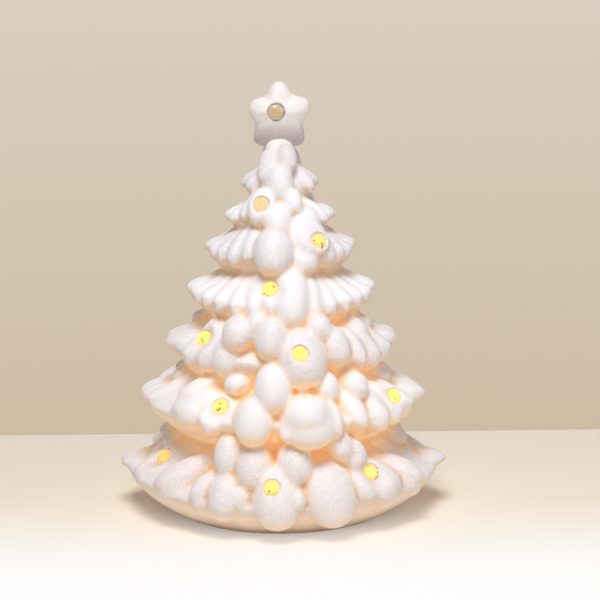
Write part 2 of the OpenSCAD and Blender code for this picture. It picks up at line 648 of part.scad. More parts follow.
// Moves to the inner face of the wall at one end of the bay, with X out of the bay
module at_contact(i, side) {
    translate([side * bay_l / 2, cell_y(i), cell_z]) rotate([0, 0, side > 0 ? 0 : 180]) children();
}

module contact_positive() {
    color("silver") at_contact(0, 1) {
        contact_plate(contact_w, true);
        translate([-contact_t, 0, 0]) dimple();
    }
}

module contact_negative() {
    color("silver") at_contact(2, -1) {
        contact_plate(contact_w, true);
        translate([-contact_t, 0, 0]) contact_spring();
    }
}

// Plate over the cells i and i + 1, with the spring on the cell whose nub is at the other end
module contact_bridge(i, side) {
    color("silver") {
        at_contact(i + 0.5, side) contact_plate(cell_pitch + contact_w, false);
        for (k = [i, i + 1]) at_contact(k, side) translate([-contact_t, 0, 0])
            if (NUB_SIDES[k] == side) dimple(); else contact_spring();
    }
}

module led_board() {
    color("white") difference() {
        translate([0, bay_y, board_z]) cylinder(r = board_r, h = board_t);
        at_posts() translate([0, 0, board_z - cut]) cylinder(r = screw_r + screw_fit, h = board_t + 2 * cut);
    }
}

// Lamp with its flange, standing on the board
module led(i) {
    r = led_d / 2;
    a = 90 + 120 * i;
    color([1, 0.95, 0.8]) translate([led_ring * cos(a), bay_y + led_ring * sin(a), board_top]) {
        cylinder(r = r + led_flange_w, h = led_flange_h);
        cylinder(r = r, h = led_h - r);
        translate([0, 0, led_h - r]) sphere(r = r);
    }
}

// Resistor with its two legs bent down to the board
module resistor() {
    x = resistor_l / 2;
    axis = resistor_d / 2 + leg_rise;
    color("tan") translate([0, bay_y + resistor_y, board_top]) {
        translate([-x, 0, axis]) rotate([0, 90, 0]) cylinder(d = resistor_d, h = resistor_l);
        for (side = [-1, 1]) {
            translate([side * x, 0, axis]) rotate([0, side * 90, 0]) cylinder(d = leg_d, h = 2 * leg_d);
            translate([side * (x + 1.5 * leg_d), 0, 0]) cylinder(d = leg_d, h = axis + leg_d / 2);
        }
    }
}

// Screw with a round head and a slot, its head's underside at z = 0
module screw(l) {
    translate([0, 0, -l]) cylinder(r = screw_r, h = l);
    difference() {
        cylinder(r1 = screw_head_r, r2 = 0.7 * screw_head_r, h = screw_head_h);
        translate([0, 0, screw_head_h * (1 - slot_share)]) slab([2 * screw_head_r, slot_w, screw_head_h]);
    }
}

module board_screws() {
    color("silver") at_posts() translate([0, 0, board_top]) screw(board_screw_l);
}

module switch_screws() {
    color("silver") at_switch_ears() translate([0, 0, plate_top + ear_t]) screw(switch_screw_l);
}

// Case of the switch: a closed box with a slot in its floor, an ear at each end and two terminals
module switch_case() {
    color("dimgray") translate([0, switch_y, plate_top]) difference() {
        union() {
            slab([switch_l, switch_w, switch_h]);
            slab([switch_l + 2 * ear_l, switch_w, ear_t]);
            for (side = [-1, 1]) translate([side * switch_l / 4, 0, switch_h])
                slab([terminal_w, terminal_t, terminal_h]);
        }
        translate([0, 0, switch_floor])
            slab([slider_l + switch_travel, slider_w, slider_h] + 2 * slider_fit * [1, 1, 1]);
        translate([0, 0, -cut])
            slab([knob_l + switch_travel + 2 * slider_fit, knob_w + 2 * slider_fit, switch_floor + 2 * cut]);
        translate([0, -switch_y, -cut]) at_switch_ears()
            cylinder(r = screw_r + screw_fit, h = 2 * ear_t + cut);
    }
}

// Slider at its on end, with the knob through the case and the plate
module switch_slider() {
    color("black") translate([-switch_travel / 2, switch_y, plate_top]) {
        translate([0, 0, switch_floor + slider_fit]) slab([slider_l, slider_w, slider_h]);
        translate([0, 0, knob_low - plate_top])
            slab([knob_l, knob_w, plate_top - knob_low + switch_floor + 2 * slider_fit]);
    }
}

// Lead from one point to another, which leaves both straight up
module lead(from, to, rise) {
    start = from + [0, 0, lead_d];
    end = to + [0, 0, lead_d];
    mid_1 = start + [0, 0, rise];
    mid_2 = end + [0, 0, rise];
    bend = [for (i = [0:LEAD_RINGS]) let (u = i / LEAD_RINGS, w = 1 - u)
        w * w * w * start + 3 * w * w * u * mid_1 + 3 * w * u * u * mid_2 + u * u * u * end];
    tube(concat([from], bend, [to]), lead_d / 2, LEAD_SIDES, [from[1] - to[1], to[0] - from[0], 0]);
}

// Tops of the tabs, of the switch terminals and of the board's pads, where the leads are soldered
function tab_end(i) = [tab_places[i][0] * (bay_l - contact_t) / 2, tab_places[i][1], bay_top + tab_h];
function terminal_end(side) = [side * switch_l / 4, switch_y, plate_top + switch_h + terminal_h];
function pad_end(a) = [0, bay_y, board_top] + pad_ring * [cos(a), sin(a), 0];

module lead_battery() {
    color("firebrick") lead(tab_end(0), terminal_end(1), 3 * tab_h);
}

module lead_switch() {
    color("firebrick") lead(terminal_end(-1), pad_end(PAD_DIRECTIONS[0]), 3 * tab_h);
}

module lead_return() {
    color("dimgray") lead(tab_end(1), pad_end(PAD_DIRECTIONS[1]), 2 * tab_h);
}

tree_body();
gem_star();
for (i = [0:len(gem_shares) - 1]) {
    tree_gem(i, 0);
    tree_gem(i, 180);
}
for (i = [0:2]) {
    battery(i);
    led(i);
}
base_housing();
base_seal();
battery_door();
contact_positive();
contact_negative();
contact_bridge(1, 1);  // contact_bridge_near
contact_bridge(0, -1);  // contact_bridge_far
led_board();
resistor();
board_screws();
switch_case();
switch_slider();
switch_screws();
lead_battery();
lead_switch();
lead_return();
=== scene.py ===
# Lit ceramic christmas tree: cast bisque tiers, glitter, cut gems and a battery lamp base
import bpy
import math
import numpy as np
from mathutils import Matrix, Vector


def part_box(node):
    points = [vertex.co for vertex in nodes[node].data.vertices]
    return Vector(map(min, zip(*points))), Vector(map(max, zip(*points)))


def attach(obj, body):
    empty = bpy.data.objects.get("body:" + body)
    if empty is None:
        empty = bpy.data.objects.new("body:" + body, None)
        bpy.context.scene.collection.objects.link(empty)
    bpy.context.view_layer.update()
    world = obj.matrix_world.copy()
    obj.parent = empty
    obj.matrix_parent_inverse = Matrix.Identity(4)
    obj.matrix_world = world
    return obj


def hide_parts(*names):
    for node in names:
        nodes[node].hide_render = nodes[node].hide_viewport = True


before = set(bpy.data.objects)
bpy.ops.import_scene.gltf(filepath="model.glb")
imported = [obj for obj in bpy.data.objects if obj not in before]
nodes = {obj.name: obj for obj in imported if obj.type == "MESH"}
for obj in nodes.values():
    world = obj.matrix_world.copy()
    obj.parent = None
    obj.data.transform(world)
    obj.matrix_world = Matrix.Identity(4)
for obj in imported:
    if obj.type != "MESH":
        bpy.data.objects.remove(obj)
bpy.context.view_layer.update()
mm = 0.001


def hexColour(text):  # sRGB hex to the linear colour that shaders take
    parts = [int(text[i:i + 2], 16) / 255 for i in (1, 3, 5)]
    return tuple(c / 12.92 if c <= 0.04045 else ((c + 0.055) / 1.055) ** 2.4 for c in parts) + (1.0,)


def setInputs(tree, node, inputs):  # each gets a value, a hex colour or a link from another node's output
    for name, value in inputs.items():
        if isinstance(value, bpy.types.NodeSocket):
            tree.links.new(value, node.inputs[name])
        else:
            isColour = isinstance(value, str) and value.startswith("#")
            node.inputs[name].default_value = hexColour(value) if isColour else value


def addNode(tree, kind, inputs=None, **settings):  # a node with its settings and what goes into it
    node = tree.nodes.new(kind)
    for name, value in settings.items():
        setattr(node, name, value)
    setInputs(tree, node, inputs or {})
    return node


def addMath(tree, operation, *values):
    return addNode(tree, "ShaderNodeMath", dict(enumerate(values)), operation=operation).outputs[0]


def mixColour(tree, share, one, other, blend="MIX"):
    mixed = addNode(tree, "ShaderNodeMix", {0: share, 6: one, 7: other}, data_type="RGBA", blend_type=blend)
    return mixed.outputs[2]


def colourRamp(tree, share, stops, interpolation="LINEAR"):  # stops are positions from 0 on, with hex colours
    ramp = addNode(tree, "ShaderNodeValToRGB", {0: share})
    ramp.color_ramp.interpolation = interpolation
    elements = ramp.color_ramp.elements
    elements.remove(elements[1])
    elements[0].color = hexColour(stops[0][1])
    for position, colour in stops[1:]:
        elements.new(position).color = hexColour(colour)
    return ramp.outputs[0]


def addNoise(tree, place, scale, detail=2.0):
    return addNode(tree, "ShaderNodeTexNoise", {"Vector": place, "Scale": scale, "Detail": detail}).outputs[0]


def addBump(tree, surface, height, strength, depth):  # depth in mm
    bump = addNode(tree, "ShaderNodeBump", {"Height": height, "Strength": strength, "Distance": depth * mm})
    tree.links.new(bump.outputs[0], surface.inputs["Normal"])


def pointValue(tree, name, output="Fac"):  # an attribute of the mesh
    return addNode(tree, "ShaderNodeAttribute", attribute_name=name).outputs[output]


def newMaterial(name, values):  # a material, its node tree, its surface shader and its object coordinates
    material = bpy.data.materials.new(name)
    material.use_nodes = True
    tree = material.node_tree
    tree.nodes.clear()
    surface = addNode(tree, "ShaderNodeBsdfPrincipled", values)
    addNode(tree, "ShaderNodeOutputMaterial", {"Surface": surface.outputs[0]})
    return material, tree, surface, addNode(tree, "ShaderNodeTexCoord").outputs["Object"]


def newPiece(name, vertices, faces):
    mesh = bpy.data.meshes.new(name)
    mesh.from_pydata(vertices, [], faces)
    mesh.validate()
    mesh.polygons.foreach_set("use_smooth", [True] * len(mesh.polygons))
    piece = bpy.data.objects.new(name, mesh)
    bpy.context.scene.collection.objects.link(piece)
    return piece


def gridFaces(rows, around):  # four-sided faces between closed rings of points
    return [(j * around + i, j * around + (i + 1) % around, (j + 1) * around + (i + 1) % around,
             (j + 1) * around + i) for j in range(rows - 1) for i in range(around)]


def finishedMesh(piece):  # what the modifiers make becomes the piece's own plain mesh
    bpy.context.view_layer.update()
    evaluated = piece.evaluated_get(bpy.context.evaluated_depsgraph_get())
    mesh = bpy.data.meshes.new_from_object(evaluated)
    piece.modifiers.clear()
    piece.data = mesh


# Camera: a 120 mm lens, 0.93 m in front of the tree and a little above its top. The photograph is 600 px
# wide, and the tree's axis is at pixel 281
cameraLook = {"distance": 0.930, "height": 0.248, "pitch": 9.2, "roll": -0.6, "lens": 120, "sensor": 36,
              "axisPixel": 281, "framePixels": 600}
camera = bpy.data.objects.new("camera", bpy.data.cameras.new("camera"))
bpy.context.scene.collection.objects.link(camera)
bpy.context.scene.camera = camera
camera.data.lens, camera.data.sensor_width = cameraLook["lens"], cameraLook["sensor"]
camera.data.shift_x = 0.5 - cameraLook["axisPixel"] / cameraLook["framePixels"]
camera.matrix_world = (Matrix.Translation((0, -cameraLook["distance"], cameraLook["height"]))
                       @ Matrix.Rotation(math.radians(90 - cameraLook["pitch"]), 4, "X")
                       @ Matrix.Rotation(math.radians(cameraLook["roll"]), 4, "Z"))
bpy.context.scene.view_settings.view_transform = "Standard"
print("camera set")

# Stage: a pale table that ends behind the tree, in front of a beige wall. A painted pool of light, seen by
# the camera only, fades it to white in front, and it is see-through under the foot, so that the lamp base
# shows and is lit from below
stageLook = {"table": "#FFF3DF", "wallTop": "#DCCFC1", "wallLow": "#CBBAA0", "wallFoot": -0.25,
             "backEdge": 0.146, "reach": 1.6, "level": -0.0003, "window": 0.0465,
             "fade": {"From Min": 0.02, "From Max": -0.14, "To Max": 0.85}}
farSide, backEdge, tableTop = stageLook["reach"], stageLook["backEdge"], stageLook["level"]
table = newPiece("table", [(-farSide, -farSide, tableTop), (farSide, -farSide, tableTop),
                           (farSide, backEdge, tableTop), (-farSide, backEdge, tableTop)], [(0, 1, 2, 3)])
tablePaint, tree, surface, objectPlace = newMaterial("painted table top", {"Base Color": stageLook["table"],
                                                                           "Roughness": 0.55})
tablePlace = addNode(tree, "ShaderNodeSeparateXYZ", {0: objectPlace})
nearness = addNode(tree, "ShaderNodeMapRange", {"Value": tablePlace.outputs["Y"], **stageLook["fade"]},
                   interpolation_type="SMOOTHSTEP")
tableRays = addNode(tree, "ShaderNodeLightPath")
# painted pool of light: camera rays see the table fade to white emission towards the front
paintedLightPool = addMath(tree, "MULTIPLY", nearness.outputs[0], tableRays.outputs["Is Camera Ray"])
white = addNode(tree, "ShaderNodeEmission", {"Strength": 1.0})
faded = addNode(tree, "ShaderNodeMixShader", {0: paintedLightPool, 1: surface.outputs[0], 2: white.outputs[0]})
fromMiddle = addNode(tree, "ShaderNodeVectorMath", {0: objectPlace}, operation="LENGTH")
underFoot = addMath(tree, "LESS_THAN", fromMiddle.outputs["Value"], stageLook["window"])
underside = addNode(tree, "ShaderNodeNewGeometry").outputs["Backfacing"]
clear = addNode(tree, "ShaderNodeBsdfTransparent")
windowed = addNode(tree, "ShaderNodeMixShader", {0: addMath(tree, "MAXIMUM", underside, underFoot),
                                                 1: faded.outputs[0], 2: clear.outputs[0]})
tree.links.new(windowed.outputs[0], tree.nodes["Material Output"].inputs["Surface"])
table.data.materials.append(tablePaint)

# Light: a soft room and two area lamps that face the middle of the tree, each with its place, size and watts
lampLook = {"colour": "#FBFAFF", "world": 0.215, "aim": (0, 0, 0.09),
            "lamps": {"key lamp": ((-0.08, -0.72, 1.45), 0.75, 19.1),
                      "fill lamp": ((0.9, -0.6, 0.6), 0.8, 1.2)}}
world = bpy.data.worlds.new("soft room")
bpy.context.scene.world = world
world.use_nodes = True
sky = world.node_tree
sky.nodes.clear()
skyRays = addNode(sky, "ShaderNodeLightPath").outputs
direction = addNode(sky, "ShaderNodeTexCoord")
heightOf = addNode(sky, "ShaderNodeSeparateXYZ", {0: direction.outputs["Generated"]})
band = addNode(sky, "ShaderNodeMapRange", {"Value": heightOf.outputs["Z"], "From Min": stageLook["wallFoot"],
                                           "From Max": 0.0})
wall = mixColour(sky, band.outputs[0], stageLook["wallLow"], stageLook["wallTop"])
seen = addNode(sky, "ShaderNodeBackground", {"Color": wall, "Strength": 1.0})
light = addNode(sky, "ShaderNodeBackground", {"Color": lampLook["colour"], "Strength": lampLook["world"]})
mirrored = addMath(sky, "MAXIMUM", skyRays["Is Glossy Ray"], skyRays["Is Transmission Ray"])
shown = addMath(sky, "MAXIMUM", skyRays["Is Camera Ray"], mirrored)
pick = addNode(sky, "ShaderNodeMixShader", {0: shown, 1: light.outputs[0], 2: seen.outputs[0]})
addNode(sky, "ShaderNodeOutputWorld", {"Surface": pick.outputs[0]})
for name, (place, size, watts) in lampLook["lamps"].items():
    lamp = bpy.data.objects.new(name, bpy.data.lights.new(name, "AREA"))
    bpy.context.scene.collection.objects.link(lamp)
    lamp.data.shape, lamp.data.size, lamp.data.energy = "DISK", size, watts
    lamp.data.color = hexColour(lampLook["colour"])[:3]
    lamp.location = place
    lamp.rotation_mode = "QUATERNION"
    lamp.rotation_quaternion = (Vector(lampLook["aim"]) - Vector(place)).to_track_quat("-Z", "Y")
print("stage and lamps set")

# The cast skin, in mm and degrees. The fingers are a lower row of lobes under the side boughs
castShape = {"gridTop": 175.5, "rowStep": 0.55, "around": 900, "voxel": 1.18, "softness": 0.5, "treeTop": 170,
             "blend": 0.5, "lobeBlend": 2.5, "lobeSpan": 50, "bluntLength": 0.62, "bluntWidth": 0.8,
             "belly": 0.12, "shoulder": 1.15, "rowsDown": 1.5, "rowsUp": 2.6,
             "fingerReach": 0.972, "fingerDrop": 0.25, "fingerLength": 0.9, "fingerWide": 1.25,
             "fingerThick": 1.35, "fingerTurn": 14, "fingerSlope": 36, "fingerSide": 76, "fingerRise": 2.6,
             "fingerTier": 3}
trunkShape = [(0, 47), (12, 49), (38, 45), (66, 40), (90, 28.1), (112, 25.4), (130, 19.6), (146, 12.5),
              (158, 8), (166, 7.4), (170, 6.4), (173, 4.6), (174.5, 0.5)]
# Each tier has the height of its edge in front and at the side, its reach, how far it hangs and rises, and
# the share of its reach that its plain skirt has
tierShape = {
    7: (18, 22.5, 77, 24, 16, 0.95), 6: (53.5, 54, 67, 18.5, 15.5, 0.95), 5: (78.5, 80, 54.5, 16.5, 13, 0.95),
    4: (103, 104, 44.3, 15.5, 10.5, 0.96), 3: (123.5, 123.5, 35.4, 13, 11, 0.93),
    2: (137, 137.5, 25.6, 10, 11.5, 0.88), 1: (152, 152, 17.8, 9, 11, 0.8)}
# The boughs of half a tier, each a lobe: direction from the front, reach and height of its tip, half its
# length, width and thickness, how steeply it hangs and how far it turns aside
boughShape = {
    7: [(-87, 76.2, 21, 28, 17, 5.2, 1, -3), (-66, 73.5, 20.5, 24, 9, 6, 10, -24),
        (-46, 76, 19.5, 17, 6.5, 5.5, 22, -38), (-31, 75, 17.5, 9, 5, 5, 34, -25),
        (-22, 74, 9.5, 12.5, 8.5, 9, 52, 0), (-17, 71.5, 14, 6, 5.5, 5.5, 60, 0),
        (-2, 76, 7, 16, 12, 10, 50, 0), (5.5, 74.5, 14.5, 5, 3, 4.5, 60, 0),
        (18, 76, 7, 16.5, 12.5, 10, 50, 0), (31, 75, 16.5, 10, 6, 5.5, 36, 15),
        (40, 76.5, 19, 14.5, 9, 7, 22, 32), (54, 77, 20.5, 14, 7, 5.5, 20, 26),
        (87, 77, 21.3, 27, 16, 5.2, 0, 3), (-23, 66, 28, 10, 7, 7, 60, 0), (-12, 68, 23, 11, 8, 8, 58, 0),
        (5, 67, 24, 11, 8, 8, 58, 0), (25, 65, 34, 7, 5.5, 5.5, 60, 0), (31, 66, 28, 8, 6, 6, 60, 0),
        (-78, 58, 31, 6.5, 6.5, 4, 25, 0), (80, 59, 32, 6.5, 6.5, 4, 22, 0)],
    6: [(-84, 65.8, 53.5, 25, 9, 5.5, 9, -6), (-72, 65.5, 53.5, 22, 6.5, 5.5, 12, -18),
        (-46, 62, 58.5, 13, 5, 4.5, 22, -38), (-44, 66.5, 53, 15, 9, 7, 12, -44),
        (-31, 66, 50.5, 9, 5, 4.5, 24, -35), (-24, 55, 65, 6.5, 5.5, 5, 15, -60),
        (-4, 63, 57, 12, 8.5, 8.5, 56, 0), (-12, 67, 42.5, 11.5, 9, 9, 60, 0),
        (11, 68, 41, 13, 13, 9, 56, 0), (10, 69.5, 49.5, 9.5, 10.5, 8, 40, 0),
        (2, 67.5, 44.5, 5, 3.5, 4, 40, 25), (21, 66, 45, 10, 4.5, 6, 55, 15), (22, 57, 60, 7, 5.5, 6, 58, 0),
        (37, 59, 60, 7, 6.5, 6, 48, 0), (33, 66.5, 48.5, 14, 5.5, 5.5, 38, 5),
        (44, 66.5, 49, 15, 5.5, 5.5, 31, 12), (53, 67, 51, 15, 5.5, 5.5, 25, 15),
        (62, 67, 53, 15, 5.5, 5, 18, 15), (83, 67.3, 53.5, 24, 12, 6.5, 5, 6),
        (75, 52, 62.5, 6, 6, 3.5, 20, 0), (-84, 51.5, 61.5, 6, 6, 3.5, 20, 0)],
    5: [(-80, 54.8, 79, 21, 14, 6.5, 5, -10), (-53, 54.5, 77, 13, 6, 5, 22, -20),
        (-42, 54, 76, 13, 6, 5, 27, -20), (-31, 53.5, 74.5, 13, 6.5, 6, 34, -12),
        (-25, 50.5, 82, 8.5, 7.5, 7.5, 58, 0), (-14, 47, 88, 6.5, 5.5, 5.5, 58, 0),
        (-5.5, 53, 78.5, 10.5, 7.8, 8.5, 58, 0), (10, 58, 67, 14.5, 12, 10, 54, 0),
        (22, 48.5, 86, 6.5, 6, 6, 58, 0), (30, 53.5, 74.5, 10, 6.8, 7.5, 56, 0),
        (43, 54, 73, 11, 5, 5.5, 46, 0), (54, 54, 75, 13, 6, 5.5, 30, 10),
        (66, 54.5, 77, 15, 6.5, 5, 20, 12), (82, 54.3, 79.5, 20, 11, 6, 5, 10),
        (56, 46, 84.5, 7, 6, 5, 28, 0), (76, 43, 87, 6, 5, 3.5, 20, 0), (-48, 45, 86, 7, 6, 4.5, 28, 0)],
    4: [(-84, 44.2, 104, 19, 8, 5, 6, -8), (-64, 44.3, 103.5, 18, 5.5, 4.5, 10, -10),
        (-53, 44, 102.5, 18, 5, 4.5, 13, -8), (-41, 44, 101.5, 18, 5, 4.5, 17, -8),
        (-29, 44, 100.5, 17, 5, 4.5, 21, -6), (-17, 44, 99.5, 16, 5, 5, 28, -3),
        (-6, 44, 99, 15, 5, 5.5, 40, 0), (6, 47, 93, 16, 9, 8.5, 52, 0), (20, 44, 98, 15, 5.5, 5.5, 34, 4),
        (32, 44, 100, 16, 5, 4.5, 22, 6), (44, 44, 101, 17, 5, 4.5, 17, 8), (56, 44, 102, 18, 5, 4.5, 13, 8),
        (69, 44, 103, 18, 5.5, 4.5, 10, 8), (84, 44, 104, 19, 8, 5, 6, 8)],
    3: [(-84, 35.3, 123.5, 15, 7.5, 4.5, 7, 0), (-66, 35.2, 123, 14, 5, 4.5, 12, -8),
        (-53, 35, 122, 14, 4.5, 4.5, 18, -8), (-40, 35, 121, 13, 4.5, 5, 26, -8),
        (-27, 34.5, 120, 12, 5, 5.5, 40, 0), (-6, 38, 114, 12, 9, 9, 60, 0),
        (20, 35.5, 115, 8, 7, 5.5, 52, 0), (28, 35, 123, 12, 9.5, 6.5, 40, 0),
        (41, 34.5, 120.5, 11, 5, 5, 32, 5), (53, 35, 122, 13, 5, 4.5, 20, 8),
        (66, 35.2, 122.5, 14, 5.5, 4.5, 12, 8), (84, 34.6, 123.5, 15, 7.5, 4.5, 7, 0)],
    2: [(-84, 25.6, 137.5, 12, 6.5, 4.5, 12, 0), (-62, 25.6, 136.5, 11, 5, 4, 22, -8),
        (-43, 25, 138, 11, 4.5, 4.5, 36, -5), (-23, 26.5, 135.5, 10, 6.5, 6, 56, 0),
        (-3, 27.5, 130, 8.5, 6.2, 6.5, 60, 0), (31, 26.5, 131.5, 8, 7.8, 6, 46, 0),
        (17, 23.5, 140.5, 6.5, 4.4, 4.5, 62, 0), (55, 25.6, 136, 10, 5, 4.5, 28, 8),
        (80, 24.6, 137.5, 12, 7, 4.5, 12, 0)],
    1: [(-84, 17.6, 152, 10, 6, 4, 27, 0), (-58, 17, 150, 9.5, 5.2, 4.6, 38, -8),
        (0, 18.5, 145.5, 9.5, 6.3, 6, 66, 0), (60, 17, 149.5, 10, 5.2, 5, 38, 8),
        (84, 16.4, 152, 10, 6, 4, 27, 0), (20, 12.5, 158.5, 7, 4.8, 4.5, 70, 0),
        (-30, 14, 153, 9, 4.8, 4.5, 70, 0)]}


def edgeHeight(shape, a):  # a tier's edge goes from its height in front to its height at the side
    return shape[0] + (shape[1] - shape[0]) * np.sin(np.radians(a)) ** 2


def turned(a):  # an angle from -180 to 180 degrees
    return (a + 180) % 360 - 180


def softMax(one, other, width):  # the larger of two, with a fillet where they meet
    h = np.clip(0.5 + 0.5 * (one - other) / width, 0, 1)
    return other + (one - other) * h + width * h * (1 - h)


def under(v):  # share of the reach left under the edge
    return 1 - np.clip(v, 0, 1) ** 1.6


def over(v):  # share of the reach left above the edge: a slope that runs out on the trunk
    v = np.clip(v, 0, 1)
    return (1 - v) ** 1.5 * (1 + 0.5 * v)


def lobeRadius(a, z, middle, sizes, slope, aside):  # where rays from the axis leave a lobe, zero outside it
    slope, aside = math.radians(slope), math.radians(aside)
    along = np.array([math.cos(slope) * math.cos(aside), math.cos(slope) * math.sin(aside), -math.sin(slope)])
    across = np.array([-math.sin(aside), math.cos(aside), 0])
    axes = [axis / size for axis, size in zip((along, across, np.cross(along, across)), sizes)]
    ray, start = (np.cos(np.radians(a)), np.sin(np.radians(a))), z - middle[1]
    # The ray's direction and start in the lobe's own axes, each divided by the lobe's half size there
    u = [axis[0] * ray[0] + axis[1] * ray[1] for axis in axes]
    w = [axis[2] * start - axis[0] * middle[0] for axis in axes]
    squared = sum(p * p for p in u)
    half = sum(p * q for p, q in zip(u, w))
    inside = half ** 2 - squared * (sum(q * q for q in w) - 1)
    return np.where(inside > 0, (np.sqrt(np.maximum(inside, 0)) - half) / squared, 0)


def boughRadius(a, z, reach, tip, length, width, thick, slope, aside):  # a long lobe joined with a blunt one
    out, fall = math.cos(math.radians(slope)), math.sin(math.radians(slope))
    lobes = []
    for long, wide in ((1, 1), (castShape["bluntLength"], castShape["bluntWidth"])):
        half = long * length
        lobes.append(lobeRadius(a, z, (reach - half * out, tip + half * fall),
                                (half, wide * width, wide * thick), slope, aside))
    return softMax(*lobes, castShape["lobeBlend"])


def fingersOf(tier):  # the lower row of lobes, made from the tier's flatter side boughs
    front, down = tierShape[tier][0], tierShape[tier][3]
    return [(direction, castShape["fingerReach"] * reach, tip - castShape["fingerDrop"] * down,
             castShape["fingerLength"] * length, castShape["fingerWide"] * width,
             castShape["fingerThick"] * thick, slope + castShape["fingerTurn"], aside)
            for direction, reach, tip, length, width, thick, slope, aside in boughShape[tier]
            if tier >= castShape["fingerTier"] and slope < castShape["fingerSlope"]
            and tip < front + castShape["fingerRise"] and abs(direction) < castShape["fingerSide"]]


def skinRadius(a, z):  # a grid of directions and heights: its radii, and the tier that each point is on
    trunk = np.interp(z, *zip(*trunkShape))
    skin, tierOf = trunk.copy(), np.zeros(trunk.shape)
    for tier, (front, side, tierReach, down, up, skirtShare) in tierShape.items():
        rows = np.where((z[:, 0] > min(front, side) - castShape["rowsDown"] * down)
                        & (z[:, 0] < max(front, side) + castShape["rowsUp"] * up))[0]
        part = slice(rows[0], rows[-1] + 1)
        zs, trunkPart = z[part], trunk[part]
        v = zs - edgeHeight((front, side), a[part]) + castShape["belly"] * down
        skirt = np.where(v < 0, under(-v / (down * (1 - castShape["belly"]))),
                         over(v / (castShape["shoulder"] * up)))
        tierSkin = trunkPart + np.maximum(skirtShare * tierReach - trunkPart, 0) * skirt
        for direction, *bough in boughShape[tier] + fingersOf(tier):
            for turn in (0, 180):
                x = turned(a[0] - direction - turn)
                columns = np.where(np.abs(x) < castShape["lobeSpan"])[0]
                x = np.broadcast_to(x[columns][None, :], (len(rows), len(columns)))
                tierSkin[:, columns] = softMax(tierSkin[:, columns], boughRadius(x, zs[:, columns], *bough),
                                               castShape["blend"])
        tierOf[part] = np.where(tierSkin > skin[part], tier, tierOf[part])
        skin[part] = softMax(skin[part], tierSkin, castShape["blend"])
    return skin, tierOf


heights = np.arange(0, castShape["gridTop"], castShape["rowStep"])
gridA, gridZ = np.meshgrid(np.arange(castShape["around"]) * 360 / castShape["around"], heights)
skin, tierOf = skinRadius(gridA, gridZ)
print("skin worked out", skin.shape)

# Gems sit where the model has them. Each has its place on the skin, its turn, its axis and its direction. The
# skin is level with each gem's girdle around its seat
gemLook = {"diameter": 8, "table": 4.4, "crown": 1.5, "rim": 1.0, "back": 2.2, "tilt": 30, "facets": 12,
           "backShare": 0.88, "edgeShare": 0.8, "crownShares": (0.55, 0.45), "glints": 4.5,
           "seatGap": 0.15, "seatHeight": 9, "seatSides": 40, "levelReach": 12, "levelSpread": 5.6,
           "leastSlope": 0.3}
gemFacing = {"t2_": -15, "t3_": 20, "t4_": -8, "t5_left": -24, "t5_": 8, "t6_left": -18, "t6_right": 25,
             "t7_left": -25, "t7_": -4, "t7_right": 20}
gemNames = sorted(name for name in nodes if name.startswith("gem_"))
gemPlaces = []
for name in gemNames:
    lowCorner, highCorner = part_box(name)
    middle = (lowCorner + highCorner) / 2 / mm
    a, tilt, facingAngle = 0, 0, 0
    if name != "gem_star":
        a, tilt = math.degrees(math.atan2(middle.x, -middle.y)), gemLook["tilt"]
        row, half, hand = (name.split("_") + [""])[1:4]
        facingAngle = gemFacing[row + "_" + hand] + (0 if half == "front" else 180)
    turn = (Matrix.Rotation(math.radians(facingAngle), 3, "Z")
            @ Matrix.Rotation(math.radians(90 - tilt), 3, "X"))
    axis = turn @ Vector((0, 0, 1))
    outward = gemLook["back"] - gemLook["rim"] / 2 - gemLook["crown"] / 2
    gemPlaces.append((middle + axis * outward, turn, axis, a))
for place, turn, axis, a in gemPlaces:
    if place.z < castShape["treeTop"]:
        near = np.hypot(turned(gridA - a) * math.radians(1) * math.hypot(place.x, place.y), gridZ - place.z)
        along = axis.x * np.sin(np.radians(gridA)) - axis.y * np.cos(np.radians(gridA))
        levelled = (place.dot(axis) - gridZ * axis.z) / np.maximum(along, gemLook["leastSlope"])
        skin += ((np.where(near < gemLook["levelReach"], levelled, skin) - skin)
                 * np.exp(-(near / gemLook["levelSpread"]) ** 4))

skinPoints = np.stack([skin * np.sin(np.radians(gridA)), -skin * np.cos(np.radians(gridA)), gridZ], -1)
skinRows, skinAround = skin.shape
skinFaces = gridFaces(skinRows, skinAround)
skinFaces.append(tuple(range(skinAround - 1, -1, -1)))
skinFaces.append(tuple(range((skinRows - 1) * skinAround, skinRows * skinAround)))
castTree = newPiece("castTree", (skinPoints.reshape(-1, 3) * mm).tolist(), skinFaces)
remesh = castTree.modifiers.new("remesh", "REMESH")
remesh.mode, remesh.voxel_size = "VOXEL", castShape["voxel"] * mm
remesh.use_smooth_shade = True
soften = castTree.modifiers.new("soften", "SMOOTH")
soften.factor, soften.iterations = castShape["softness"], 2
finishedMesh(castTree)
for vertex in castTree.data.vertices:
    vertex.co.z = max(vertex.co.z, 0)  # the foot is flat
print("cast body remeshed", len(castTree.data.polygons))

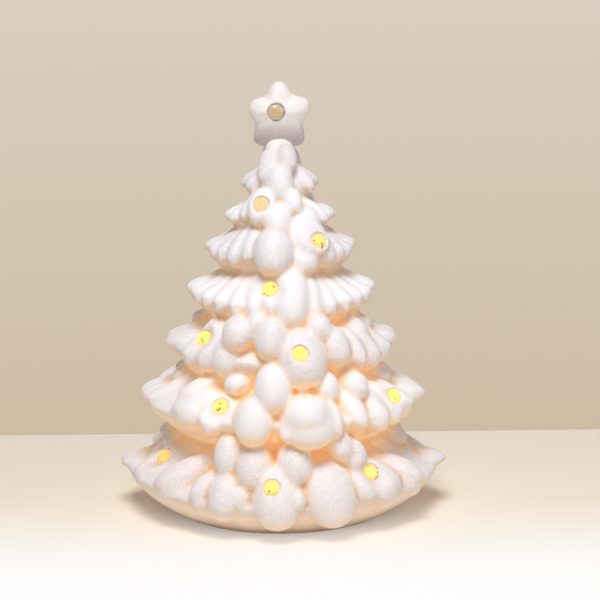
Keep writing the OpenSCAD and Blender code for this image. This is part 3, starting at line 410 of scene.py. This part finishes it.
# The star, a puffy casting that is thinner at its foot. Its outline is the direction from the right in
# degrees and the share of its radius
starShape = {"radius": 15, "thickness": 15, "middle": 185, "around": 200, "layers": 44, "puffiness": 0.6,
             "footShare": 0.42, "footRise": (-13, 1), "glitterTop": 183, "glitterFade": 5,
             "outline": [(-90, 1), (-54, 1.16), (-22, 0.81), (18, 1), (53, 0.74), (90, 1), (127, 0.71),
                         (164, 0.96), (204, 0.81), (231, 1.15), (270, 1)]}
outline, count, layers = starShape["outline"], starShape["around"], starShape["layers"]
starPoints = []
for layer in range(1, layers):
    t = math.radians(-90 + 180 * layer / layers)
    for i in range(count):
        a = -90 + 360 * i / count
        k = max(n for n in range(len(outline) - 1) if outline[n][0] <= a)
        u = (a - outline[k][0]) / (outline[k + 1][0] - outline[k][0])
        share = outline[k][1] + (outline[k + 1][1] - outline[k][1]) * (0.5 - 0.5 * math.cos(math.pi * u))
        r = starShape["radius"] * share * math.cos(t) ** starShape["puffiness"]
        rise = r * math.sin(math.radians(a))
        thick = starShape["thickness"] / 2 * np.interp(rise, starShape["footRise"],
                                                       [starShape["footShare"], 1])
        starPoints.append((r * math.cos(math.radians(a)) * mm, thick * math.sin(t) * mm,
                           (starShape["middle"] + rise) * mm))
starPoints += [(0, side * starShape["thickness"] / 2 * mm, starShape["middle"] * mm) for side in (-1, 1)]
last = (layers - 2) * count
starFaces = gridFaces(layers - 1, count)
starFaces += [((i + 1) % count, i, len(starPoints) - 2) for i in range(count)]
starFaces += [(last + i, last + (i + 1) % count, len(starPoints) - 1) for i in range(count)]
castStar = newPiece("castStar", starPoints, starFaces)

# Cuts: a seat for each gem, and in the tree the foot's opening and the hollow that drain casting leaves
hollowShape = {"wall": 3.6, "opening": 41, "openingHeight": 9, "top": 168, "step": 4, "sides": 96}
leastSkin = skin.min(1)
hollowProfile = [(-1, hollowShape["opening"]), (hollowShape["openingHeight"], hollowShape["opening"])]
for z in np.arange(hollowShape["openingHeight"] + 0.5, hollowShape["top"] + 0.1, hollowShape["step"]):
    rowsNear = np.abs(heights - z) < hollowShape["step"]
    hollowProfile.append((z, max(leastSkin[rowsNear].min() - hollowShape["wall"], hollowShape["wall"] / 2)))


def turnedSolid(name, profile, sides):  # heights and radii in mm, turned round the axis, closed at both ends
    ring = [(math.cos(2 * math.pi * k / sides), math.sin(2 * math.pi * k / sides)) for k in range(sides)]
    vertices = [(r * x * mm, r * y * mm, z * mm) for z, r in profile for x, y in ring]
    faces = gridFaces(len(profile), sides)
    faces += [tuple(range(sides - 1, -1, -1)), tuple(len(vertices) - sides + k for k in range(sides))]
    return newPiece(name, vertices, faces)


def gemSeats(onStar):  # a round pocket for each gem of the star or of the tree, all in one tool
    seatRadius = gemLook["diameter"] / 2 + gemLook["seatGap"]
    pocket = turnedSolid("pocket", [(-gemLook["back"], seatRadius), (gemLook["seatHeight"], seatRadius)],
                         gemLook["seatSides"])
    local = np.array([tuple(v.co) + (1,) for v in pocket.data.vertices])
    vertices, faces = [], []
    for place, turn, axis, a in gemPlaces:
        if (place.z > castShape["treeTop"]) == onStar:
            moved = local @ np.array(Matrix.Translation(place * mm) @ turn.to_4x4()).T
            faces += [tuple(len(vertices) + k for k in polygon.vertices) for polygon in pocket.data.polygons]
            vertices += moved[:, :3].tolist()
    bpy.data.objects.remove(pocket)
    return newPiece("seats", vertices, faces)


for piece, tool in ((castStar, gemSeats(True)), (castTree, gemSeats(False)),
                    (castTree, turnedSolid("hollow", hollowProfile, hollowShape["sides"]))):
    cut = piece.modifiers.new("cut", "BOOLEAN")
    cut.operation, cut.object, cut.solver = "DIFFERENCE", tool, "MANIFOLD"
    finishedMesh(piece)
    bpy.data.objects.remove(tool)
print("seats and hollow cut", len(castTree.data.polygons), len(castStar.data.polygons))
for piece in (castTree, castStar):
    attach(piece, "root")
    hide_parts("tree_body")

# Painted light and shade where light comes through the cast wall, as attributes of the skin. Each pair of
# lists gives heights in mm and the share there: of the painted glow, of the painted amber shade in the
# creases, of the painted glow under the tiers, of the painted warm shade where the skin hangs, and of the
# painted warm light that all the lower tiers have
glowLook = {"colour": "#FFD49A", "tint": "#FBE2C6", "paintedCreaseShade": "#E6BC88", "strength": 0.29, "sharpness": 1.5,
            "crease": 1.5, "creaseSpan": (6, 7), "creaseShare": 0.3, "hollow": 8.0, "hollowSpan": (20, 26),
            "hollowShare": 0.65, "warmShare": 0.5, "starWarm": 0.4, "hangingGain": 1.7,
            "glowing": ([0, 12, 26, 30, 95, 112, 160], [0.25, 0.3, 0.6, 1, 1, 0.4, 0.08]),
            "paintedCreaseShading": ([0, 10, 20, 100, 170], [0, 0.3, 0.85, 0.75, 0.35]),
            "under": ([0, 14, 24, 60, 90, 100], [0.05, 0.1, 0.4, 0.4, 0.3, 0]),
            "hanging": ([10, 24], [0.55, 1]), "lowerWarmLight": ([0, 80, 110], [0.17, 0.12, 0.02])}
# The glitter lies on every second tier, down to so many mm under its edge, and on the star's lower half.
# Painted shade, again by height: the star's lower half and the tree's neck are greyed most, the rest of the
# tree a little
coatShape = {"under": {7: 7, 5: 10, 3: 7, 1: 6}, "fade": 3, "starPaintedShade": ([174, 184], [0.9, 0]),
             "treePaintedShade": ([60, 110, 160, 172], [0.12, 0.08, 0.1, 0.5])}


def blurred(grid, spanZ, spanA):  # a box blur over rows and around
    for span, axis in ((spanZ, 0), (spanA, 1)):
        grid = sum(np.roll(grid, k, axis) for k in range(-span, span + 1)) / (2 * span + 1)
    return grid


# painted glow: deeper creases and the hollows under the tiers get more
crease = np.clip((blurred(skin, *glowLook["creaseSpan"]) - skin) / glowLook["crease"], 0, 1)
hollowPart = np.clip((blurred(skin, *glowLook["hollowSpan"]) - skin) / glowLook["hollow"], 0, 1)
hollowGlow = glowLook["hollowShare"] * hollowPart ** glowLook["sharpness"]
glow = blurred(np.clip(glowLook["creaseShare"] * crease + hollowGlow, 0, 1), 1, 2)
glow *= np.interp(gridZ, *glowLook["glowing"])
# painted amber shade in the creases, by crease depth and height
paintedCreaseShadeGrid = blurred(crease ** glowLook["sharpness"], 1, 1) * np.interp(gridZ, *glowLook["paintedCreaseShading"])
glitter = np.zeros(skin.shape)
for tier, hang in coatShape["under"].items():
    depth = gridZ - edgeHeight(tierShape[tier], gridA) + hang
    glitter = np.where(tierOf == tier, np.clip(depth / coatShape["fade"], 0, 1), glitter)
glitter = blurred(glitter, 1, 2)


def readGrid(grid, vertices):  # the grid's value at each vertex, by its direction and height
    a = np.degrees(np.arctan2(vertices[:, 0], -vertices[:, 1])) % 360 / 360 * grid.shape[1]
    z = np.clip(vertices[:, 2] / mm / castShape["rowStep"], 0, grid.shape[0] - 1.001)
    i, j = np.floor(a).astype(int) % grid.shape[1], np.floor(z).astype(int)
    u, v, k = a - np.floor(a), z - j, (i + 1) % grid.shape[1]
    lower, upper = grid[j, i] * (1 - u) + grid[j, k] * u, grid[j + 1, i] * (1 - u) + grid[j + 1, k] * u
    return lower * (1 - v) + upper * v


def vertexArray(piece):  # the places of the vertices, one row each
    values = np.empty(len(piece.data.vertices) * 3, np.float32)
    piece.data.vertices.foreach_get("co", values)
    return values.reshape(-1, 3)


def setAttributes(piece, values):  # one number at each vertex, by the attribute's name
    for name, numbers in values.items():
        attribute = piece.data.attributes.new(name, "FLOAT", "POINT")
        attribute.data.foreach_set("value", numbers.astype(np.float32))


def hangingPart(piece):  # how far each vertex faces down
    normals = np.array([tuple(normal.vector) for normal in piece.data.vertex_normals])
    return np.clip(-glowLook["hangingGain"] * normals[:, 2], 0, 1)


treeSpots, hanging = vertexArray(castTree), hangingPart(castTree)
spotHeight = treeSpots[:, 2] / mm
# painted glow, more where the skin hangs under a tier
shine = np.clip(readGrid(glow, treeSpots) + np.interp(spotHeight, *glowLook["under"]) * hanging, 0, 1)
# painted warm light by height and from a share of the painted glow, then painted warm shade where the skin
# hangs
warmth = np.interp(spotHeight, *glowLook["lowerWarmLight"]) + glowLook["warmShare"] * shine
setAttributes(castTree, {
    "glow": shine, "paintedWarmth": np.maximum(warmth, np.interp(spotHeight, *glowLook["hanging"]) * hanging),
    "glitter": readGrid(glitter, treeSpots), "paintedCreaseShade": readGrid(paintedCreaseShadeGrid, treeSpots),
    "paintedShade": np.interp(spotHeight, *coatShape["treePaintedShade"])})
starHeight = vertexArray(castStar)[:, 2] / mm
# on the star: painted warm shade where it hangs, with no glow and no crease shade
setAttributes(castStar, {
    "glow": 0 * starHeight, "paintedWarmth": glowLook["starWarm"] * hangingPart(castStar),
    "glitter": np.clip((starShape["glitterTop"] - starHeight) / starShape["glitterFade"], 0, 1),
    "paintedCreaseShade": 0 * starHeight, "paintedShade": np.interp(starHeight, *coatShape["starPaintedShade"])})
print("glow and glitter set")

# Bisque porcelain, cast and fired without glaze: chalky white with a faint tooth. A painted glow, painted
# peach and amber shade and painted grey shade stand in for light that comes through the thin creases of the
# cast wall and for the shade under the tiers and on the star. The glittered tiers have a coat of fine clear
# grains of 0.2 mm, drawn as 0.6 mm so that they show
porcelainLook = {"body": ("#FBFAFB", "#F7F6F7"), "mottle": 60.0, "tooth": 1300.0, "toothShare": 0.12,
                 "grains": 1700.0, "paintedShade": "#CFC5C4", "bump": 0.32, "bumpDepth": 0.25,
                 "grainColours": [(0, "#EBE6E8"), (0.03, "#F3F0F1"), (0.3, "#F5F3F5"), (0.7, "#FAF9FA"),
                                  (0.9, "#FFFFFF")]}
porcelain, tree, surface, objectPlace = newMaterial("bisque porcelain", {
    "Roughness": 0.55, "IOR": 1.5, "Emission Color": glowLook["colour"], "Subsurface Weight": 0.06,
    "Subsurface Radius": (1.0, 0.75, 0.6), "Subsurface Scale": 1.2 * mm})
grains = addNode(tree, "ShaderNodeTexVoronoi", {"Vector": objectPlace, "Scale": porcelainLook["grains"]})
grainParts = addNode(tree, "ShaderNodeSeparateColor", {0: grains.outputs["Color"]}).outputs
grain = colourRamp(tree, grainParts[0], porcelainLook["grainColours"], "CONSTANT")
# painted shade: the grains are greyed by height, where the star's lower half and the neck lie in shade
grainInPaintedShade = mixColour(tree, pointValue(tree, "paintedShade"), grain, porcelainLook["paintedShade"], "MULTIPLY")
coat = pointValue(tree, "glitter")
body = mixColour(tree, addNoise(tree, objectPlace, porcelainLook["mottle"]), *porcelainLook["body"])
coated = mixColour(tree, coat, body, grainInPaintedShade)
# painted warm shade and light: a peach tint where the skin hangs and lower down
peach = mixColour(tree, pointValue(tree, "paintedWarmth"), coated, glowLook["tint"], "MULTIPLY")
# painted shade: amber multiplied into the creases
amber = mixColour(tree, pointValue(tree, "paintedCreaseShade"), peach, glowLook["paintedCreaseShade"], "MULTIPLY")
# painted glow: emission by the glow attribute stands in for light through the cast wall
strength = addMath(tree, "MULTIPLY", pointValue(tree, "glow"), glowLook["strength"])
setInputs(tree, surface, {"Base Color": amber, "Emission Strength": strength})
tooth = addNoise(tree, objectPlace, porcelainLook["tooth"], 3.0)
raised = addMath(tree, "MULTIPLY", grainParts[1], coat)
relief = addMath(tree, "MULTIPLY_ADD", tooth, porcelainLook["toothShare"], raised)
addBump(tree, surface, relief, porcelainLook["bump"], porcelainLook["bumpDepth"])
for piece in (castTree, castStar):
    piece.data.materials.clear()
    piece.data.materials.append(porcelain)

# Polyester film glitter: thin pearl hexagons that lie nearly flat, so only some catch the light. The film is
# 0.1 mm and drawn coarser so that it shows
glitterLook = {"size": 0.24, "scales": (0.6, 1.25), "drawnEvery": 2.2, "tilt": 11, "lift": 0.08, "seed": 5,
               "patches": 900.0, "shades": [(0, "#F4F1F6"), (1, "#FFFFFF")]}
film, tree, surface, objectPlace = newMaterial("pearl polyester film",
                                               {"Roughness": 0.3, "Coat Weight": 0.25})
patches = addNoise(tree, objectPlace, glitterLook["patches"])
setInputs(tree, surface, {"Base Color": colourRamp(tree, patches, glitterLook["shades"])})


def newTree(name, inputs):  # a Geometry Nodes tree with these inputs after its geometry, and what they give
    tree = bpy.data.node_groups.new(name, "GeometryNodeTree")
    for way in ("OUTPUT", "INPUT"):
        tree.interface.new_socket("Geometry", in_out=way, socket_type="NodeSocketGeometry")
    for item, kind in inputs.items():
        tree.interface.new_socket(item, in_out="INPUT", socket_type="NodeSocket" + kind)
    return tree, addNode(tree, "NodeGroupInput").outputs


def endTree(tree, instances, material):  # the instances become real geometry with a material
    solid = addNode(tree, "GeometryNodeRealizeInstances", {"Geometry": instances.outputs[0]})
    painted = addNode(tree, "GeometryNodeSetMaterial", {"Geometry": solid.outputs[0], "Material": material})
    addNode(tree, "NodeGroupOutput", {"Geometry": painted.outputs[0]})


def useTree(piece, tree, values):  # a modifier with its inputs set by identifier
    modifier = piece.modifiers.new(tree.name, "NODES")
    modifier.node_group = tree
    for item in tree.interface.items_tree:
        if item.item_type == "SOCKET" and item.in_out == "INPUT" and item.name in values:
            modifier[item.identifier] = values[item.name]


def flakeTree():  # flat hexagons strewn over the faces, as dense as the glitter attribute says
    tree, given = newTree("strewn flakes",
                          {"Size": "Float", "Density": "Float", "Tilt": "Float", "Seed": "Int"})
    coat = addNode(tree, "GeometryNodeInputNamedAttribute", {"Name": "glitter"}, data_type="FLOAT")
    density = addMath(tree, "MULTIPLY", coat.outputs[0], given["Density"])
    strewn = addNode(tree, "GeometryNodeDistributePointsOnFaces",
                     {"Mesh": given["Geometry"], "Density": density, "Seed": given["Seed"]}).outputs
    backward = addMath(tree, "MULTIPLY", given["Tilt"], -1.0)
    lowest = addNode(tree, "ShaderNodeCombineXYZ", {"X": backward, "Y": backward})
    highest = addNode(tree, "ShaderNodeCombineXYZ", {"X": given["Tilt"], "Y": given["Tilt"], "Z": 1.0})
    lean = addNode(tree, "FunctionNodeRandomValue", {0: lowest.outputs[0], 1: highest.outputs[0],
                                                     "Seed": given["Seed"]}, data_type="FLOAT_VECTOR")
    leaning = addNode(tree, "FunctionNodeEulerToRotation", {0: lean.outputs[0]})
    facing = addNode(tree, "FunctionNodeRotateRotation", {0: strewn["Rotation"], 1: leaning.outputs[0]},
                     rotation_space="LOCAL")
    least, most = glitterLook["scales"]
    scale = addNode(tree, "FunctionNodeRandomValue", {2: least, 3: most, "Seed": given["Seed"]},
                    data_type="FLOAT")
    flake = addNode(tree, "GeometryNodeMeshCircle", {"Vertices": 6, "Radius": given["Size"]},
                    fill_type="NGON")
    raised = addNode(tree, "ShaderNodeVectorMath", {0: strewn["Normal"], "Scale": glitterLook["lift"] * mm},
                     operation="SCALE")
    lifted = addNode(tree, "GeometryNodeSetPosition", {"Geometry": strewn["Points"],
                                                       "Offset": raised.outputs[0]})
    endTree(tree, addNode(tree, "GeometryNodeInstanceOnPoints",
                          {"Points": lifted.outputs[0], "Instance": flake.outputs[0],
                           "Rotation": facing.outputs[0], "Scale": scale.outputs[1]}), film)
    return tree


strewnTree = flakeTree()
for piece, name in ((castTree, "treeGlitter"), (castStar, "starGlitter")):
    flakes = bpy.data.objects.new(name, piece.data.copy())
    bpy.context.scene.collection.objects.link(flakes)
    useTree(flakes, strewnTree, {"Size": glitterLook["size"] * mm, "Seed": glitterLook["seed"],
                                 "Density": (glitterLook["drawnEvery"] * mm) ** -2,
                                 "Tilt": math.radians(glitterLook["tilt"])})
    finishedMesh(flakes)
    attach(flakes, "root")
    print(name, len(flakes.data.polygons))

# Cut gems: clear acrylic with a polished table. Painted light: emission stands in for the lamp inside, which
# lights the middle yellow while the rim stays pale, and painted glints give amber and dark facets among
# bright ones
gemColours = {"lit": [(0, "#FFF3E6"), (0.45, "#FFDC7C"), (1, "#FFFF74")],
              "body": [(0, "#E9E0D8"), (0.45, "#CCB28C"), (1, "#A09A72")],
              "glints": [(0, "#8A6C34"), (0.03, "#FFE2A8"), (0.1, "#FCF8EA"), (0.4, "#FFFFFF")]}
gemPaint, tree, surface, objectPlace = newMaterial("cut acrylic gem", {"Roughness": 0.04, "IOR": 1.49,
                                                                       "Transmission Weight": 0.3})
# painted glints: Voronoi cells of each gem give bright, amber and dark facets
facets = addNode(tree, "ShaderNodeTexVoronoi", {"Vector": pointValue(tree, "gemSpot", "Vector"),
                                                "Scale": gemLook["glints"]})
flash = addNode(tree, "ShaderNodeSeparateColor", {0: facets.outputs["Color"]})
glint = colourRamp(tree, flash.outputs[0], gemColours["glints"], "CONSTANT")
yellowPart = pointValue(tree, "gemYellow")
litColour, bodyColour = [colourRamp(tree, yellowPart, gemColours[part]) for part in ("lit", "body")]
# painted light: emission by the gem attributes stands in for the lamp inside
setInputs(tree, surface, {"Emission Color": mixColour(tree, 1.0, litColour, glint, "MULTIPLY"),
                          "Emission Strength": pointValue(tree, "gemLight"),
                          "Base Color": mixColour(tree, 0.5, bodyColour, glint, "MULTIPLY")})


def gemTree():  # one cut gem on every point, turned to its direction
    tree, given = newTree("cut gems", {"Diameter": "Float", "Table": "Float", "Crown": "Float",
                                       "Rim": "Float", "Facets": "Int"})
    girdle, flat = [addMath(tree, "MULTIPLY", given[name], 0.5) for name in ("Diameter", "Table")]
    back = addMath(tree, "MULTIPLY", girdle, gemLook["backShare"])
    edge = addMath(tree, "MULTIPLY", girdle, gemLook["edgeShare"])
    joined = addNode(tree, "GeometryNodeJoinGeometry")
    lowCrown, highCrown = gemLook["crownShares"]
    height = 0.0
    for lower, upper, depth, share in ((back, girdle, "Rim", 1.0), (girdle, edge, "Crown", lowCrown),
                                       (edge, flat, "Crown", highCrown)):
        deep = addMath(tree, "MULTIPLY", given[depth], share)
        facetRing = addNode(tree, "GeometryNodeMeshCone",
                            {"Vertices": given["Facets"], "Radius Bottom": lower, "Radius Top": upper,
                             "Depth": deep}, fill_type="TRIANGLE_FAN")
        shift = addNode(tree, "ShaderNodeCombineXYZ", {"Z": height})
        moved = addNode(tree, "GeometryNodeTransform", {"Geometry": facetRing.outputs["Mesh"],
                                                        "Translation": shift.outputs[0]})
        tree.links.new(moved.outputs[0], joined.inputs[0])
        height = addMath(tree, "ADD", deep, height)
    merged = addNode(tree, "GeometryNodeMergeByDistance", {"Geometry": joined.outputs[0],
                                                           "Distance": 0.01 * mm})
    facing = addNode(tree, "GeometryNodeInputNamedAttribute", {"Name": "facing"}, data_type="FLOAT_VECTOR")
    turn = addNode(tree, "FunctionNodeEulerToRotation", {0: facing.outputs[0]})
    endTree(tree, addNode(tree, "GeometryNodeInstanceOnPoints",
                          {"Points": given["Geometry"], "Instance": merged.outputs[0],
                           "Rotation": turn.outputs[0]}), gemPaint)
    return tree


gems = newPiece("cutGems", [(place - axis * gemLook["back"]) * mm for place, turn, axis, a in gemPlaces], [])
facingValues = gems.data.attributes.new("facing", "FLOAT_VECTOR", "POINT")
facingValues.data.foreach_set("vector", [angle for place, turn, axis, a in gemPlaces
                                         for angle in turn.to_euler("XYZ")])
useTree(gems, gemTree(), {"Diameter": gemLook["diameter"] * mm, "Table": gemLook["table"] * mm,
                          "Crown": gemLook["crown"] * mm, "Rim": gemLook["rim"] * mm,
                          "Facets": gemLook["facets"]})
finishedMesh(gems)
gems.data.polygons.foreach_set("use_smooth", [False] * len(gems.data.polygons))
# Painted light: how bright and how yellow a gem's middle is, by the start of its name
gemPower = {"gem_star": (0.12, 0.36), "gem_t2": (0.36, 0.42), "gem_t3": (0.62, 0.7),
            "gem_t7_front_left": (0.5, 0.68), "gem_t7": (0.68, 0.85), "gem": (0.76, 1.0)}
gemCorners = vertexArray(gems)
centres = np.array([list(place * mm) for place, turn, axis, a in gemPlaces])
nearest = ((gemCorners[:, None, :] - centres[None]) ** 2).sum(2).argmin(1)
gemSpots, gemLight, gemYellow = np.zeros(gemCorners.shape), *np.zeros((2, len(gemCorners)))
for k, (place, turn, axis, a) in enumerate(gemPlaces):
    mine = nearest == k
    local = (gemCorners[mine] - centres[k]) @ np.array(turn) / (gemLook["diameter"] / 2 * mm)
    across = np.hypot(local[:, 0], local[:, 1])
    gemSpots[mine] = np.stack([local[:, 0], local[:, 1], np.full(len(local), 3.0 * k)], -1)
    bright, yellow = next(power for start, power in sorted(gemPower.items(), reverse=True)
                          if gemNames[k].startswith(start))
    gemLight[mine] = bright * np.interp(across, [0.6, 1], [1, 0.5])
    gemYellow[mine] = yellow * np.interp(across, [0.2, 0.8, 1], [1, 0.72, 0.1])
gems.data.attributes.new("gemSpot", "FLOAT_VECTOR", "POINT").data.foreach_set("vector", gemSpots.ravel())
setAttributes(gems, {"gemLight": gemLight, "gemYellow": gemYellow})
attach(gems, "root")
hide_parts(*gemNames)
print("gems cut", len(gems.data.polygons))

# Lamp base finishes, put on the CAD nodes' own slots
baseLook = {"shell": "#EFEDE8", "door": "#E9E6E0", "seal": "#E4E7E6", "board": "#2E6B47", "weave": "#2A6441",
            "nickel": "#C9C6BE", "zinc": "#C4C6C8", "black": "#1E1F21", "red": "#B3261E", "label": "#35383C",
            "copper": "#B0703A", "resistor": "#D9C59A", "lampLight": "#FFD98A", "lampBody": "#FFF4DA"}


def mouldedPlastic(name, colour, roughness, grain, depth, more=None):  # spark-eroded texture, sizes in mm
    values = {"Roughness": roughness, "IOR": 1.53, **(more or {})}
    material, tree, surface, objectPlace = newMaterial(name, values)
    haze = mixColour(tree, addNoise(tree, objectPlace, 45.0), colour, "#F2F1EE", "MULTIPLY")
    setInputs(tree, surface, {"Base Color": haze})
    addBump(tree, surface, addNoise(tree, objectPlace, 1 / (grain * mm)), 0.3, depth)
    return material


def platedMetal(name, colour, roughness):  # plated sheet or wire with fine drawing marks
    material, tree, surface, objectPlace = newMaterial(name, {"Metallic": 1.0, "Roughness": roughness})
    drawn = addNode(tree, "ShaderNodeMapping", {"Vector": objectPlace, "Scale": (1, 1, 12)})
    marks = addNoise(tree, drawn.outputs[0], 900.0, 3.0)
    setInputs(tree, surface, {"Base Color": mixColour(tree, marks, colour, "#E4E2DE", "MULTIPLY")})
    addBump(tree, surface, marks, 0.15, 0.02)
    return material


def alongAxis(tree, objectPlace, axis, start, end, low=0.0, high=1.0):  # from low to high along an axis
    apart = addNode(tree, "ShaderNodeSeparateXYZ", {0: objectPlace})
    along = addNode(tree, "ShaderNodeMapRange", {"Value": apart.outputs[axis], "From Min": start,
                                                 "From Max": end, "To Min": low, "To Max": high})
    return along.outputs[0]


def batteryJacket():  # a printed foil jacket with a bare copper-coloured end, and steel at both tips
    material, tree, surface, objectPlace = newMaterial("printed battery jacket",
                                                       {"Metallic": 0.7, "Roughness": 0.32})
    zones = [(0, baseLook["nickel"]), (0.03, baseLook["label"]), (0.74, baseLook["copper"]),
             (0.965, baseLook["nickel"])]
    along = alongAxis(tree, objectPlace, "X", -0.0225, 0.0225)
    setInputs(tree, surface, {"Base Color": colourRamp(tree, along, zones, "CONSTANT")})
    addBump(tree, surface, addNoise(tree, objectPlace, 400.0), 0.1, 0.05)
    return material


def solderMask():  # a glass-epoxy board under green solder mask, with its weave just showing
    material, tree, surface, objectPlace = newMaterial("green solder mask",
                                                       {"Roughness": 0.25, "Coat Weight": 0.4})
    weave = addNode(tree, "ShaderNodeTexChecker", {"Vector": objectPlace, "Scale": 1500.0,
                                                   "Color1": baseLook["board"], "Color2": baseLook["weave"]})
    setInputs(tree, surface, {"Base Color": weave.outputs["Color"]})
    return material


def lampEpoxy():  # clear warm epoxy, lit from its chip
    material, tree, surface, objectPlace = newMaterial("lit epoxy lamp", {
        "Base Color": baseLook["lampBody"], "Emission Color": baseLook["lampLight"],
        "Transmission Weight": 0.5, "Roughness": 0.08, "IOR": 1.54})
    setInputs(tree, surface, {"Emission Strength": alongAxis(tree, objectPlace, "Z", 0.020, 0.032, 0.6, 1.6)})
    return material


shell = mouldedPlastic("moulded ABS shell", baseLook["shell"], 0.48, 0.35, 0.03)
hatch = mouldedPlastic("moulded ABS door", baseLook["door"], 0.52, 0.3, 0.03)
silicone = mouldedPlastic("poured silicone", baseLook["seal"], 0.36, 2.5, 0.12,
                          {"Subsurface Weight": 0.3, "Subsurface Radius": (2 * mm, 2 * mm, 2 * mm)})
nylon = mouldedPlastic("black nylon", baseLook["black"], 0.42, 0.25, 0.02)
redSleeve = mouldedPlastic("red PVC sleeve", baseLook["red"], 0.35, 1.2, 0.02)
blackSleeve = mouldedPlastic("black PVC sleeve", baseLook["black"], 0.35, 1.2, 0.02)
resistorBody = mouldedPlastic("lacquered resistor", baseLook["resistor"], 0.3, 0.8, 0.02)
nickel = platedMetal("nickel-plated spring steel", baseLook["nickel"], 0.3)
zinc = platedMetal("zinc-plated steel", baseLook["zinc"], 0.38)
finishes = {"base_housing": shell, "base_seal": silicone, "battery_door": hatch, "battery_": batteryJacket(),
            "contact_": nickel, "led_board": solderMask(), "led_": lampEpoxy(), "resistor": resistorBody,
            "board_screws": zinc, "switch_screws": zinc, "switch_case": nylon, "switch_slider": nylon,
            "lead_battery": redSleeve, "lead_switch": redSleeve, "lead_return": blackSleeve}
for name, node in nodes.items():
    fits = [key for key in finishes if name == key or (key.endswith("_") and name.startswith(key))]
    if fits:
        for slot in node.material_slots:
            slot.material = finishes[max(fits, key=len)]
print("lamp base finished")
